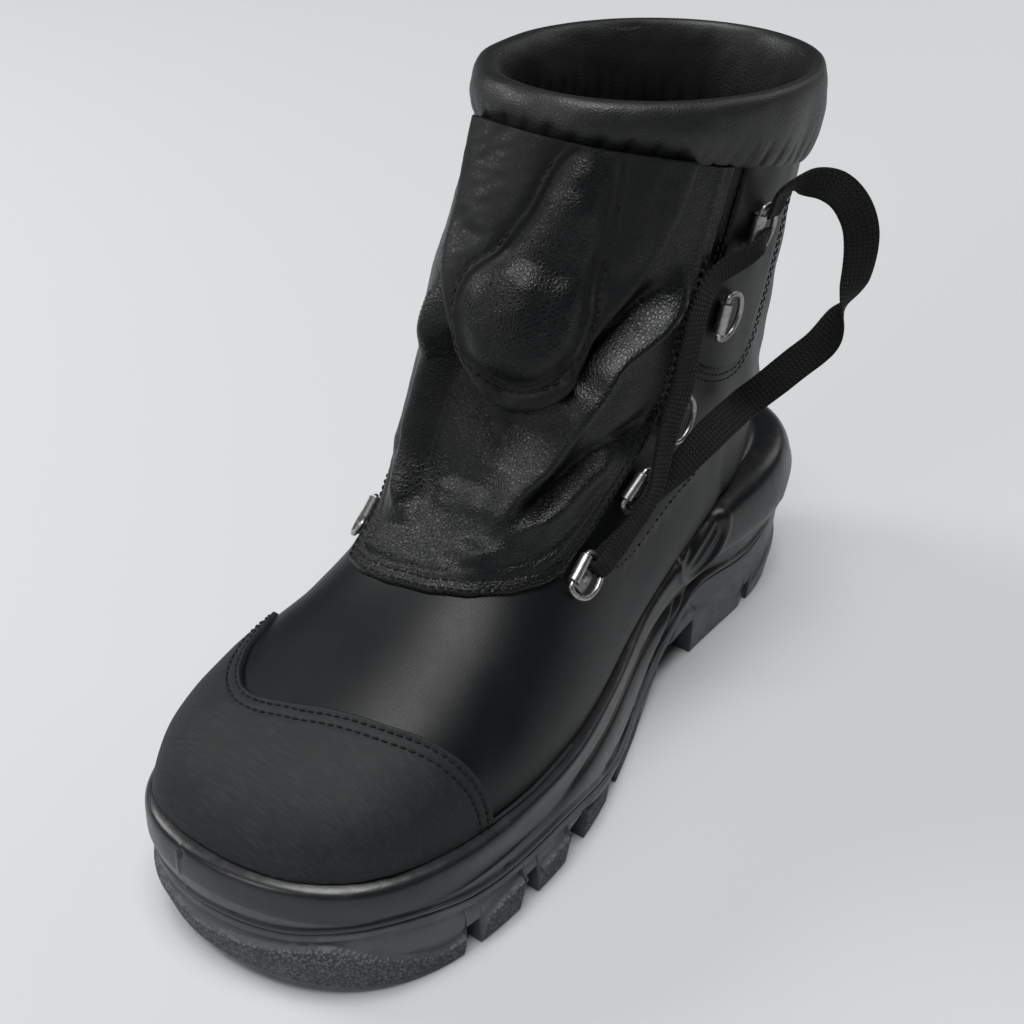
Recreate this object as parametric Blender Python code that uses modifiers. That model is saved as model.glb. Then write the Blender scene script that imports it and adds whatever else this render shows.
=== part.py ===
"""High-leg winter safety boot for the left foot: a leather upper with a soft front panel, lace rings down
both sides, and a two-part moulded sole.

The frame: metres, +Z up, the toe towards -Y, the wearer's left (the outer side of this foot) towards +X,
the origin on the floor under the middle of the sole. The tables are in millimetres and MM turns them into
metres. Pieces that lie on the upper are placed by two numbers: `along` counts the rows of UPPER from the
toe to the collar, and `around` goes once round such a section, 0 under the foot or behind the leg, 0.25 on
the outer side, 0.5 on the front ridge and 0.75 on the inner side. `out` is a distance from the upper.
"""

import math

import bmesh
import bpy
import numpy as np
from mathutils import Matrix

MM = 0.001

GAP = 0.35                # between pieces that meet
WALL = 2.2                # the upper's leather with its backing
LASTING_RISE = 3.2        # the opening under the foot is cut this far above the last's lowest line
INSOLE_THICKNESS = 4.5
CAP_THICKNESS = 1.25
PANEL_THICKNESS = 2.0
PATCH_THICKNESS = 1.3
CAP_LIFT = 0.6            # from the sole's bead up to the toe cap's lower edge
UPPER_ROWS = 24
UPPER_COLUMNS = 28
SOLE_COLUMNS = 36
FAR = 170                 # beyond the sole's ends and sides

# The widest line of the sole seen from above: a row for each station from the tip of the toe to the heel.
OUTLINE = [
    # station, along y, inner side x, outer side x
    ("toe tip", -152.5, -11, -11),
    ("toe corner", -147, -36, 18),
    ("toe side", -131, -51, 41),
    ("toe cap", -106, -58, 54),
    ("ball", -76, -58, 58.5),
    ("joint", -44, -53, 58.5),
    ("forepart", -10, -44.5, 52.5),
    ("waist front", 20, -37, 43.5),
    ("waist", 50, -35, 38),
    ("heel front", 85, -38, 38),
    ("heel", 116, -36, 38),
    ("heel corner", 140.5, -24, 27),
    ("heel tip", 152.5, 2, 2),
]

# The side of the sole, from the floor up: how far each line stands out from OUTLINE, and its height,
# where it passes the toe, the ball, the waist and the heel.
STATIONS = (-152, -70, 30, 105, 152)
SOLE_LINES = {
    # line: (out at toe, ball, waist, heel), (height at toe, ball, waist, heel)
    "tread": ((-4, -2.5, -3, -3), (0, 0, 0, 0)),
    "lug top": ((0, 0, -1.5, -1), (22, 15, 22, 14)),
    "lug step": ((-2.5, -2, -2, -1.5), (24, 17, 23.5, 20)),
    "rubber top": ((-2, -1.5, -2.5, 0), (31, 25, 29, 31)),
    "foam bottom": ((-3.5, -3, -4, -1.5), (31.3, 25.3, 29.3, 31.3)),
    "foam low": ((-2, -2.5, -3, 0), (35, 29, 32.5, 37)),
    "foam groove": ((-1.4, -3, -6.5, 1), (39, 32, 36, 41.5)),
    "foam side": ((-1, -3, -4, 2), (43, 35, 39.5, 46)),
    "foam shoulder": ((-1.5, -3, -4, 1.5), (49, 41, 45, 55)),
    "bead": ((-4, -4.5, -5, -2), (53, 45, 48.5, 63)),
    "bead inside": ((-12, -12, -12, -11), (54, 46, 49.5, 65)),
}

# What is cut from underneath, seen from the side as (y, z).
TOE_SPRING = [(-FAR, -10), (-FAR, 15), (-152, 8), (-135, 4), (-115, 1), (-92, -0.5), (-92, -10)]
ARCH = [(8, -10), (10, -1), (24, 6), (30, 12), (36, 17), (44, 19.5), (62, 19.5), (66, -10)]
NOTCHES = [
    # gap between lugs: middle y, width, height at the side, depth from the side, height across the tread
    (-97, 6, 15, 12, 5),
    (-71, 8.5, 15, 13, 5),
    (-44.5, 11.4, 15, 13, 5),
    (-15, 9, 14, 12, 5),
    (103, 5, 10, 9, 4),
]
GROOVES = [
    # lengthwise groove of the tread: low x, high x, low y, high y, height
    (-22, -17, -125, -8, 4.6),
    (17, 22, -125, -8, 4.6),
    (-3, 3, 72, 138, 4.6),
    (-16, -10, 142, FAR, 12),
    (10, 16, 142, FAR, 12),
]

# The last, as sections from the toe to the collar. Each lies in the plane through its ridge point, on the
# vamp or shin, and its base point, under the foot or behind the leg.
UPPER = [
    # section, ridge y, ridge z, base y, base z, inner half width, outer half width,
    # height of the widest point (share), crown roundness, base roundness, ridge x, base x
    ("tip", -146, 46, -146, 46, 0, 0, 0.50, 2.0, 2.0, -11, -11),
    ("toe", -144.3, 55.5, -144.7, 38, 15, 15, 0.50, 2.1, 2.3, -10.5, -10.5),
    ("cap front", -139.5, 64, -141, 33.5, 26.5, 26.5, 0.48, 2.2, 2.6, -9.5, -8.6),
    ("cap", -130.5, 71.5, -134, 31, 36, 36.5, 0.46, 2.3, 2.9, -8, -6),
    ("cap middle", -117, 78, -121.5, 30, 44.5, 45, 0.43, 2.35, 3.1, -6, -3.5),
    ("cap back", -100, 83, -104, 29, 49.5, 49.5, 0.40, 2.35, 3.2, -4.5, -2),
    ("ball", -80, 89, -83, 28.5, 51.5, 51.5, 0.38, 2.25, 3.2, -3, 0),
    ("vamp", -58, 96.5, -58, 29, 50, 51, 0.36, 2.15, 3.2, -2, 1.8),
    ("instep", -38, 108.5, -30, 31, 48, 47.5, 0.34, 2.05, 3.2, -2, 3.3),
    ("high instep", -27, 122.5, 0, 35, 47.5, 42, 0.33, 2.05, 3.1, -2, 4),
    ("throat", -22, 137, 38, 39.5, 47, 38, 0.36, 2.1, 2.9, -2, 2.2),
    ("ankle", -20, 150, 80, 44, 46.5, 37.5, 0.44, 2.2, 2.7, -1, 1),
    ("heel", -19.5, 163, 117, 47, 45.5, 37, 0.50, 2.2, 2.2, 0, 1),
    ("heel back", -19, 175, 135, 62, 44, 36.5, 0.52, 2.2, 2.05, 0, 0),
    ("low shaft", -15, 187, 136, 92, 42.5, 37, 0.52, 2.1, 2.0, 0, 0),
    ("shaft", -6, 200, 135, 124, 42.5, 38.5, 0.50, 2.05, 2.0, 0, 0),
    ("high shaft", 4, 214, 136, 160, 43, 40.5, 0.50, 2.05, 2.0, 0, 0),
    ("collar", 12, 230, 139, 208, 44.5, 43, 0.50, 2.05, 2.0, 0, 0),
]
LAST_ROW = len(UPPER) - 1
FIRST_FOOTBED_ROW, LAST_FOOTBED_ROW = 2, 12

# The toe cap's rear edge seen from above, from the inner side to the outer side.
CAP_EDGE = [
    (-60, -64), (-50, -68), (-43, -74), (-39.5, -82), (-37.5, -92), (-32, -101), (-26, -106.5), (-19, -108),
    (-9, -105.5), (10, -98.5), (22, -94.5), (33, -89.5), (45, -84.5), (60, -79),
]

# The soft front panel: `along` at its hem by the share of the way from the inner to the outer side, and
# `around` at its two side edges by `along`.
PANEL_TOP = 16.3
PANEL_HEM = [
    (0, 8.15), (0.02, 7.5), (0.05, 7.24), (0.2, 7.04), (0.36, 7.01), (0.53, 7.13), (0.69, 7.39), (0.84, 7.82),
    (0.945, 8.35), (0.99, 8.73), (1, 8.95),
]
PANEL_INNER_EDGE = [
    (7, 0.60), (8.3, 0.612), (9.2, 0.645), (10, 0.668), (10.7, 0.680), (11.6, 0.690), (12.9, 0.704),
    (13.8, 0.708), (16.3, 0.704),
]
PANEL_OUTER_EDGE = [
    (7, 0.37), (9.0, 0.352), (9.8, 0.331), (10.7, 0.320), (11.6, 0.310), (12.9, 0.296), (13.8, 0.292),
    (14.5, 0.294), (16.3, 0.296),
]

# Soft folds of the front panel, each along a line on the upper.
FOLDS = [
    # height, half width, then the line as (along, around)
    (5.0, 10, [(14.4, 0.313), (13.1, 0.334), (11.5, 0.365), (9.85, 0.399), (8.4, 0.443), (7.6, 0.478)]),
    (3.0, 7, [(11.8, 0.315), (10.5, 0.348), (9.7, 0.375), (8.95, 0.398)]),
    (3.0, 9, [(12.8, 0.56), (10.8, 0.587), (9.6, 0.60), (8.7, 0.597)]),
]

# The padded patch at the top of the front panel, and the panels that carry the upper lace rings.
PATCH_HEM = [(0, 13.0), (0.1, 12.4), (0.25, 12.0), (0.45, 11.82), (0.65, 11.85), (0.8, 12.1), (0.92, 12.5), (1, 13.1)]
PATCH_SIDES = (0.517, 0.395)
EYESTAY_HEM = [(0, 14.35), (0.12, 14.0), (0.35, 13.73), (0.7, 13.6), (0.9, 13.67), (1, 13.9)]
EYESTAY_SIDES = (0.203, 0.281)
OVERLAY_TOP = 16.2

SEAM_SIDES = (-0.014, 0.014)
SEAM_BOTTOM = 13.35

# The padded collar's section, as (along, out).
COLLAR = [(16.35, 0.35), (16.38, 2.5), (16.55, 4.2), (16.8, 4.4), (16.97, 3.2), (17.0, 0.35)]

# Where the lace rings' barrels lie, from the instep up. `lean` turns a barrel's upper end to the tongue.
EYELETS = {
    # side: (along, around, lean in degrees, carrying panel's thickness)
    "outer": [
        (9.08, 0.340, 0, 0),
        (10.86, 0.308, 4, 0),
        (12.5, 0.286, 0, 0),
        (14.45, 0.264, 18, PATCH_THICKNESS),
        (15.7, 0.256, 14, PATCH_THICKNESS),
    ],
    "inner": [
        (8.25, 0.626, 0, 0),
        (10.1, 0.688, 4, 0),
        (12.0, 0.713, 0, 0),
        (13.95, 0.734, 18, PATCH_THICKNESS),
        (15.4, 0.742, 14, PATCH_THICKNESS),
    ],
}
BARREL_RADIUS = 1.95
BARREL_BORE = 1.3
BARREL_LENGTH = 10.0
CLIP_LIFT = 0.65          # under the clip's plate
PLATE_THICKNESS = 0.6
PLATE_REACH = 7.4
WIRE_RADIUS = 0.95
# A ring's wire seen from above, with its straight bar on the barrel's axis: (beside, away from the tongue).
RING = [(6.0, 0), (7.2, 1.1), (7.6, 3.2), (6.8, 6.2), (4.6, 8.7), (1.6, 9.8)]

# The lace's two strands from the lowest outer ring. `turn` rolls the flat lace about its own line.
LACE_THICKNESS = 1.2
LACE_STEP = 6.5
LACES = {
    "lace_front_strand": [
        # along, around, out, turn in degrees, width
        (9.62, 0.314, 2.9, 0, 6.5),
        (9.85, 0.310, 3.8, 0, 7),
        (10.2, 0.305, 6.2, 0, 7),
        (10.88, 0.297, 6.4, 4, 7),
        (11.31, 0.299, 6.2, 8, 7.5),
        (11.85, 0.302, 5.8, 12, 8),
        (12.42, 0.301, 5.8, 14, 9),
        (13.02, 0.296, 5.8, 14, 9.5),
        (13.65, 0.294, 5.6, 8, 10),
        (14.25, 0.296, 5.2, 2, 10),
        (14.7, 0.296, 4.8, 0, 10),
        (15.08, 0.288, 4.6, 0, 9),
        (15.25, 0.274, 4.8, 0, 8),
    ],
    "lace_free_strand": [
        (9.62, 0.309, 1.2, 0, 6.5),
        (9.85, 0.303, 2.0, 0, 7),
        (10.2, 0.298, 4.6, 0, 7.5),
        (10.86, 0.288, 4.7, 2, 8),
        (11.16, 0.286, 5.1, 10, 9),
        (11.52, 0.282, 7.0, 32, 9.5),
        (11.93, 0.277, 8.4, 46, 10.5),
        (12.34, 0.266, 8.8, 52, 11),
        (12.88, 0.247, 8.8, 55, 11),
        (13.24, 0.229, 9.2, 62, 11),
        (13.69, 0.221, 15.2, 74, 11),
        (14.19, 0.213, 21.8, 80, 11),
        (14.6, 0.210, 27.2, 92, 11),
        (14.92, 0.210, 28.8, 130, 11),
        (15.07, 0.210, 30.0, 162, 11),
        (15.18, 0.210, 30.4, 186, 11),
        (15.41, 0.211, 31.0, 216, 11),
        (15.67, 0.213, 30.9, 236, 11),
        (15.93, 0.216, 29.5, 240, 11),
        (16.16, 0.222, 26.0, 232, 11),
        (16.31, 0.231, 20.5, 210, 10.5),
        (16.32, 0.242, 14.0, 190, 10),
        (16.23, 0.250, 9.5, 180, 9),
        (16.12, 0.255, 6.4, 180, 8),
    ],
}


def spline(knots, values, at):
    """Natural cubic spline through values at knots, read at the places `at`."""
    knots = np.asarray(knots, float)
    values = np.asarray(values, float).reshape(len(knots), -1)
    gaps = np.diff(knots)
    slopes = np.diff(values, axis=0) / gaps[:, None]
    system = np.eye(len(knots))
    bends = np.zeros_like(values)
    for k in range(1, len(knots) - 1):
        system[k, k - 1:k + 2] = gaps[k - 1], 2 * (gaps[k - 1] + gaps[k]), gaps[k]
        bends[k] = 6 * (slopes[k] - slopes[k - 1])
    bends = np.linalg.solve(system, bends)
    at = np.asarray(at, float)
    k = np.clip(np.searchsorted(knots, at, side="right") - 1, 0, len(gaps) - 1)
    gap = gaps[k, None]
    right = (at - knots[k])[:, None] / gap
    left = 1 - right
    curve = left * values[k] + right * values[k + 1]
    curve += gap ** 2 / 6 * ((left ** 3 - left) * bends[k] + (right ** 3 - right) * bends[k + 1])
    return curve


def read(table, at):
    """A two-column table read between its rows."""
    knots, values = zip(*table)
    return np.interp(at, knots, values)


def unit(vectors):
    return vectors / np.linalg.norm(vectors, axis=-1, keepdims=True)


# Objects, from points in millimetres

for leftover in list(bpy.data.objects):
    bpy.data.objects.remove(leftover)
parts = bpy.data.collections.new("safety_boot")
cutters = bpy.data.collections.new("cutters")
bpy.context.scene.collection.children.link(parts)
bpy.context.scene.collection.children.link(cutters)

LOOKS = {
    # colour, roughness, metallic
    "rubber": ((0.035, 0.038, 0.040), 0.75, 0),
    "foam": ((0.012, 0.013, 0.014), 0.40, 0),
    "leather": ((0.010, 0.011, 0.012), 0.50, 0),
    "brushed leather": ((0.012, 0.014, 0.015), 0.65, 0),
    "soft leather": ((0.008, 0.009, 0.010), 0.42, 0),
    "felt": ((0.10, 0.10, 0.10), 0.95, 0),
    "steel": ((0.30, 0.29, 0.28), 0.30, 1),
    "braid": ((0.008, 0.009, 0.010), 0.85, 0),
}


def material(name, look):
    colour, roughness, metallic = LOOKS[look]
    made = bpy.data.materials.new(name)
    made.use_nodes = True
    shader = made.node_tree.nodes["Principled BSDF"]
    shader.inputs["Base Color"].default_value = (*colour, 1)
    shader.inputs["Roughness"].default_value = roughness
    shader.inputs["Metallic"].default_value = metallic
    return made


def add_part(name, data, look):
    made = bpy.data.objects.new(name, data)
    parts.objects.link(made)
    if not data.materials:
        data.materials.append(material(name, look))
    return made


def add_cutter(name, mesh):
    made = bpy.data.objects.new(name, mesh)
    cutters.objects.link(made)
    made.hide_render = True
    made.display_type = "WIRE"
    return made


def mesh_of(name, points, faces):
    """A mesh of triangles that face outwards, smooth but for sharp edges."""
    mesh = bpy.data.meshes.new(name)
    mesh.from_pydata([tuple(p) for p in np.asarray(points, float) * MM], [], faces)
    shaped = bmesh.new()
    shaped.from_mesh(mesh)
    bmesh.ops.remove_doubles(shaped, verts=shaped.verts, dist=1e-6)
    bmesh.ops.recalc_face_normals(shaped, faces=shaped.faces)
    bmesh.ops.triangulate(shaped, faces=shaped.faces)
    shaped.to_mesh(mesh)
    shaped.free()
    mesh.shade_smooth()
    mesh.set_sharp_from_angle(angle=math.radians(40))
    return mesh


def band_faces(rows, columns, closed=True):
    """Faces between the rows of a grid whose points are numbered row by row."""
    faces = []
    for row in range(rows - 1):
        for column in range(columns if closed else columns - 1):
            a = row * columns + column
            b = row * columns + (column + 1) % columns
            faces.append((a, b, b + columns, a + columns))
    return faces


def cut(target, cutter, operation="DIFFERENCE"):
    modifier = target.modifiers.new(cutter.name, "BOOLEAN")
    modifier.operation = operation
    modifier.solver = "EXACT"
    modifier.object = cutter


def prism_mesh(name, outline, axis, low, high):
    """A flat outline carried along an axis, X, Y or Z. The outline's two numbers are the other two axes."""
    outline = np.asarray(outline, float)
    column = "XYZ".index(axis)
    rings = [np.insert(outline, column, level, axis=1) for level in (low, high)]
    count = len(outline)
    faces = band_faces(2, count) + [tuple(range(count)), tuple(range(count, 2 * count))]
    return mesh_of(name, np.vstack(rings), faces)


def prism(name, outline, axis, low, high):
    return add_cutter(name, prism_mesh(name, outline, axis, low, high))


# The sole


def outline_sides():
    """Points and outward directions along both sides of OUTLINE, the same number on each, from the toe."""
    inner = [(row[2], row[1]) for row in OUTLINE]
    outer = [(row[3], row[1]) for row in OUTLINE]
    ring = outer[:-1] + inner[:0:-1]
    count = len(ring)
    wrap = 4
    knots = np.arange(-wrap, count + wrap)
    points = np.array([ring[k % count] for k in knots])
    half = len(OUTLINE) - 1
    places = np.linspace(0, 2 * half, 2 * SOLE_COLUMNS, endpoint=False)
    here = spline(knots, points, places)
    forward = unit(spline(knots, points, places + 0.01) - here)
    return here, np.column_stack([forward[:, 1], -forward[:, 0]])


def at_stations(values, y):
    """A value given at the toe, ball, waist and heel, read at y."""
    return spline(STATIONS, (*values, values[-1]), y)[:, 0]


def sole_ring(line):
    out, height = SOLE_LINES[line]
    points, beside = outline_sides()
    y = points[:, 1]
    ring = points + beside * at_stations(out, y)[:, None]
    return np.column_stack([ring, at_stations(height, y)])


def sole_block(name, first, last, look):
    """A solid from one of the sole's lines to another, closed by strips that run straight across."""
    lines = list(SOLE_LINES)
    lines = lines[lines.index(first):lines.index(last) + 1]
    columns = 2 * SOLE_COLUMNS
    faces = band_faces(len(lines), columns)
    for base in (0, (len(lines) - 1) * columns):
        for k in range(SOLE_COLUMNS):
            corners = (k, k + 1, columns - k - 1, (columns - k) % columns)
            faces.append(tuple(base + corner for corner in dict.fromkeys(corners)))
    return add_part(name, mesh_of(name, np.vstack([sole_ring(line) for line in lines]), faces), look)


def notch(y, width, height, depth, across_height):
    """A gap between lugs: open at both sides of the sole, with a low groove joining the two."""
    _, stations, inner, outer = zip(*OUTLINE)
    inner_wall = np.interp(y, stations, inner) + depth
    outer_wall = np.interp(y, stations, outer) - depth
    outline = [
        (-FAR, -10), (-FAR, height), (inner_wall, height), (inner_wall + 3, across_height),
        (outer_wall - 3, across_height), (outer_wall, height), (FAR, height), (FAR, -10),
    ]
    return prism("notch", outline, "Y", y - width / 2, y + width / 2)


def make_outsole():
    sole = sole_block("outsole", "tread", "rubber top", "rubber")
    cut(sole, prism("toe spring", TOE_SPRING, "X", -FAR, FAR))
    cut(sole, prism("arch", ARCH, "X", -FAR, FAR))
    for row in NOTCHES:
        cut(sole, notch(*row))
    for low_x, high_x, low_y, high_y, height in GROOVES:
        outline = [(low_x, -10), (low_x, height), (high_x, height), (high_x, -10)]
        cut(sole, prism("groove", outline, "Y", low_y, high_y))


# The upper


def surface(along, around):
    """Points of the upper's outside: superellipse sections between the ridge and the base."""
    along, around = np.broadcast_arrays(np.asarray(along, float), np.asarray(around, float))
    numbers = spline(range(len(UPPER)), [row[1:] for row in UPPER], along.ravel()).T
    (ridge_y, ridge_z, base_y, base_z, inner, outer, belly, crown, foot, ridge_x, base_x) = numbers
    angle = 2 * math.pi * around.ravel() - math.pi / 2
    side, rise = np.cos(angle), np.sin(angle)
    power = 2 / np.where(rise >= 0, crown, foot)
    reach = np.where(rise >= 0, 1 - belly, belly)
    share = belly + reach * np.sign(rise) * np.abs(rise) ** power
    x = np.where(side >= 0, outer, inner) * np.sign(side) * np.abs(side) ** power
    x = x + ridge_x * share + base_x * (1 - share)
    y = base_y + (ridge_y - base_y) * share
    z = base_z + (ridge_z - base_z) * share
    return np.stack([x, y, z], axis=-1).reshape(*along.shape, 3)


def outward(along, around):
    """Unit directions out of the upper."""
    along, around = np.broadcast_arrays(np.asarray(along, float), np.asarray(around, float))
    step = 0.002
    low = np.clip(along, 0.05, LAST_ROW - step)
    ahead = surface(low + step, around) - surface(low - step, around)
    beside = surface(low, around + step) - surface(low, around - step)
    normal = unit(np.cross(ahead, beside))
    return np.where((along < 0.04)[..., None], np.array([0.0, -1.0, 0.0]), normal)


def lifted(along, around, out):
    """Points at a distance `out` from the upper's outside."""
    return surface(along, around) + outward(along, around) * np.asarray(out, float)[..., None]


def last_mesh(name, out, closed=True):
    """The body inside the upper's outside, or around it, at a distance `out`, closed at the collar or open."""
    along, around = np.meshgrid(
        np.linspace(0, LAST_ROW, UPPER_ROWS), np.arange(UPPER_COLUMNS) / UPPER_COLUMNS, indexing="ij")
    points = lifted(along, around, np.full(along.shape, out)).reshape(-1, 3)
    faces = band_faces(UPPER_ROWS, UPPER_COLUMNS)
    if closed:
        faces.append(tuple((UPPER_ROWS - 1) * UPPER_COLUMNS + np.arange(UPPER_COLUMNS)))
    return mesh_of(name, points, faces)


def footbed(rise):
    """The last's lowest line seen from the side, raised by `rise`, from beyond the toe to behind the heel."""
    line = [(row[3], row[4] + rise) for row in UPPER[FIRST_FOOTBED_ROW:LAST_FOOTBED_ROW + 1]]
    return [(-FAR, line[0][1] + 2), *line, (FAR, line[-1][1])]


def make_midsole():
    """Foam poured around the lasted upper: its hollow is the last's, down to the opening under the foot."""
    sole = sole_block("midsole", "foam bottom", "bead inside", "foam")
    last = add_cutter("last", last_mesh("last", GAP))
    above = footbed(LASTING_RISE - GAP) + [(FAR, 300), (-FAR, 300)]
    cut(last, prism("above the footbed", above, "X", -FAR, FAR), "INTERSECT")
    cut(sole, last)


def make_upper():
    """The shell from the toe to the collar, open at the collar and under the foot."""
    shell = add_part("upper", last_mesh("upper", 0, closed=False), "leather")
    wall = shell.modifiers.new("wall", "SOLIDIFY")
    wall.thickness = WALL * MM
    wall.offset = -1
    below = footbed(LASTING_RISE) + [(FAR, -10), (-FAR, -10)]
    cut(shell, prism("opening under the foot", below, "X", -FAR, FAR))


def make_insole():
    insole = add_part("insole", last_mesh("insole", -WALL - GAP), "felt")
    slab = footbed(LASTING_RISE) + footbed(LASTING_RISE + INSOLE_THICKNESS)[::-1]
    cut(insole, prism("insole slab", slab, "X", -FAR, FAR), "INTERSECT")


# Pieces on the upper


def sheet_mesh(name, along, around, inner, outer):
    """A closed sheet over a grid of places, with the distances of its two faces from the upper."""
    rows, columns = along.shape
    faces = [np.broadcast_to(np.asarray(face, float), along.shape) for face in (inner, outer)]
    points = np.vstack([lifted(along, around, face).reshape(-1, 3) for face in faces])
    count = rows * columns
    flat = band_faces(rows, columns, closed=False)
    edge = list(range(columns))
    edge += [row * columns + columns - 1 for row in range(1, rows)]
    edge += [count - 1 - k for k in range(1, columns)]
    edge += [row * columns for row in range(rows - 2, 0, -1)]
    sides = [(here, there, there + count, here + count) for here, there in zip(edge, edge[1:] + edge[:1])]
    return mesh_of(name, points, flat + [tuple(k + count for k in face) for face in flat] + sides)


def overlay(name, along, around, out, look, backing):
    """A panel that lies on `backing`, a cutter that already holds the gap."""
    panel = add_part(name, sheet_mesh(name, along, around, -WALL / 2, out), look)
    cut(panel, backing)


def panel_grid(rows, columns, hem, sides, top):
    """Places over a panel: rows from its hem to its top, columns between two tables or values of `around`."""
    share, rise = np.meshgrid(np.linspace(0, 1, columns), np.linspace(0, 1, rows))
    along = read(hem, share) * (1 - rise) + top * rise
    edges = [read(side, along) if isinstance(side, list) else side for side in sides]
    return along, edges[0] * (1 - share) + edges[1] * share


def fold_relief(along, around):
    """How far the folds lift the front panel: a rounded ridge along each fold's line, fading at its ends."""
    points = surface(along, around)
    relief = np.zeros(along.shape)
    for height, half_width, line in FOLDS:
        rows = spline(range(len(line)), line, np.linspace(0, len(line) - 1, 60))
        ridge = surface(rows[:, 0], rows[:, 1])
        reach = np.linalg.norm(points[..., None, :] - ridge, axis=-1)
        nearest = reach.argmin(axis=-1) / (len(ridge) - 1)
        fade = np.sin(math.pi * np.clip(nearest, 0.02, 0.98)) ** 0.5
        relief += height * fade * np.exp(-(reach.min(axis=-1) / half_width) ** 2 * 2)
    return relief


def make_overlays():
    backing = add_cutter("upper with its gap", last_mesh("backing", GAP))
    cap = add_part("toe_cap", last_mesh("toe_cap", GAP + CAP_THICKNESS), "brushed leather")
    front = [(-FAR, -64), *CAP_EDGE, (FAR, -79), (FAR, -FAR), (-FAR, -FAR)]
    cut(cap, prism("in front of the cap's edge", front, "Z", 0, 120), "INTERSECT")
    y = np.linspace(-FAR, -50, 25)
    bead = at_stations(SOLE_LINES["bead inside"][1], np.clip(y, STATIONS[0], None))
    above = [*zip(y, bead + CAP_LIFT), (-50, 120), (-FAR, 120)]
    cut(cap, prism("above the bead", above, "X", -FAR, FAR), "INTERSECT")
    cut(cap, backing)

    along, around = panel_grid(14, 16, PANEL_HEM, (PANEL_INNER_EDGE, PANEL_OUTER_EDGE), PANEL_TOP)
    panel_out = GAP + PANEL_THICKNESS + fold_relief(along, around)
    overlay("front_panel", along, around, panel_out, "soft leather", backing)
    cover = add_cutter("panel with its gap", sheet_mesh("cover", along, around, -WALL, panel_out + GAP))
    along, around = panel_grid(8, 9, PATCH_HEM, PATCH_SIDES, OVERLAY_TOP)
    patch_out = 2 * GAP + PANEL_THICKNESS + PATCH_THICKNESS + fold_relief(along, around)
    overlay("front_patch", along, around, patch_out, "soft leather", cover)

    for side, turn in (("outer", 1), ("inner", -1)):
        along, around = panel_grid(6, 6, EYESTAY_HEM, EYESTAY_SIDES, OVERLAY_TOP)
        overlay(f"eyestay_{side}", along, turn * around, GAP + PATCH_THICKNESS, "leather", backing)
    along, around = panel_grid(7, 3, [(0, SEAM_BOTTOM), (1, SEAM_BOTTOM)], SEAM_SIDES, OVERLAY_TOP)
    overlay("back_seam", along, around, GAP + PATCH_THICKNESS, "leather", backing)

    section = np.array(COLLAR)
    around = np.arange(UPPER_COLUMNS) / UPPER_COLUMNS
    points = lifted(*np.broadcast_arrays(section[:, :1], around), section[:, 1:] + 0 * around).reshape(-1, 3)
    faces = band_faces(len(section), UPPER_COLUMNS)
    top = (len(section) - 1) * UPPER_COLUMNS
    faces += [(top + k, top + (k + 1) % UPPER_COLUMNS, (k + 1) % UPPER_COLUMNS, k) for k in range(UPPER_COLUMNS)]
    add_part("collar", mesh_of("collar", points, faces), "soft leather")


# Lace rings


def clip_mesh():
    """Sheet rolled into a barrel, running out as a flat plate: one section carried along the barrel."""
    angles = np.radians(np.linspace(-90, -325, 9))
    outer_arc = BARREL_RADIUS * np.column_stack([np.cos(angles), np.sin(angles)])
    inner_arc = BARREL_BORE * np.column_stack([np.cos(angles), np.sin(angles)])[::-1]
    bottom = -BARREL_RADIUS
    plate = [(PLATE_REACH, bottom + PLATE_THICKNESS), (PLATE_REACH, bottom)]
    section = np.vstack([outer_arc, inner_arc[:-1], [(0.2, bottom + PLATE_THICKNESS)], plate])
    return prism_mesh("clip", section, "X", -BARREL_LENGTH / 2, BARREL_LENGTH / 2)


def ring_curve():
    """The ring's wire: a closed POLY spline, its straight bar at the origin along X."""
    half = RING + [(-x, y) for x, y in RING[::-1]]
    curve = bpy.data.curves.new("ring", "CURVE")
    curve.dimensions = "3D"
    curve.bevel_depth = WIRE_RADIUS * MM
    curve.bevel_resolution = 1
    wire = curve.splines.new("POLY")
    wire.points.add(len(half) - 1)
    for point, (x, y) in zip(wire.points, half):
        point.co = (x * MM, y * MM, 0, 1)
    wire.use_cyclic_u = True
    return curve


def eyelet_matrix(side, number):
    """A lace ring's frame: X along the barrel, Y away from the tongue, Z out of the upper."""
    rows = EYELETS[side]
    along, around, lean, backing = rows[number]
    before, after = rows[max(number - 1, 0)], rows[min(number + 1, len(rows) - 1)]
    up = outward(along, around)
    line = surface(after[0], after[1]) - surface(before[0], before[1])
    line = unit(line - up * (line @ up))
    away = np.cross(line, up) if side == "outer" else np.cross(up, line)
    lean = math.radians(lean)
    away = away * math.cos(lean) + line * math.sin(lean)
    centre = surface(along, around) + up * (backing + CLIP_LIFT + BARREL_RADIUS)
    columns = np.column_stack([np.cross(away, up), away, up, centre * MM])
    return Matrix([*columns.tolist(), (0, 0, 0, 1)])


def make_lace_rings():
    clip, ring = clip_mesh(), ring_curve()
    for side, rows in EYELETS.items():
        for number in range(len(rows)):
            place = eyelet_matrix(side, number)
            add_part(f"clip_{side}_{number + 1}", clip, "steel").matrix_world = place
            add_part(f"ring_{side}_{number + 1}", ring, "steel").matrix_world = place


# Lace


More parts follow.
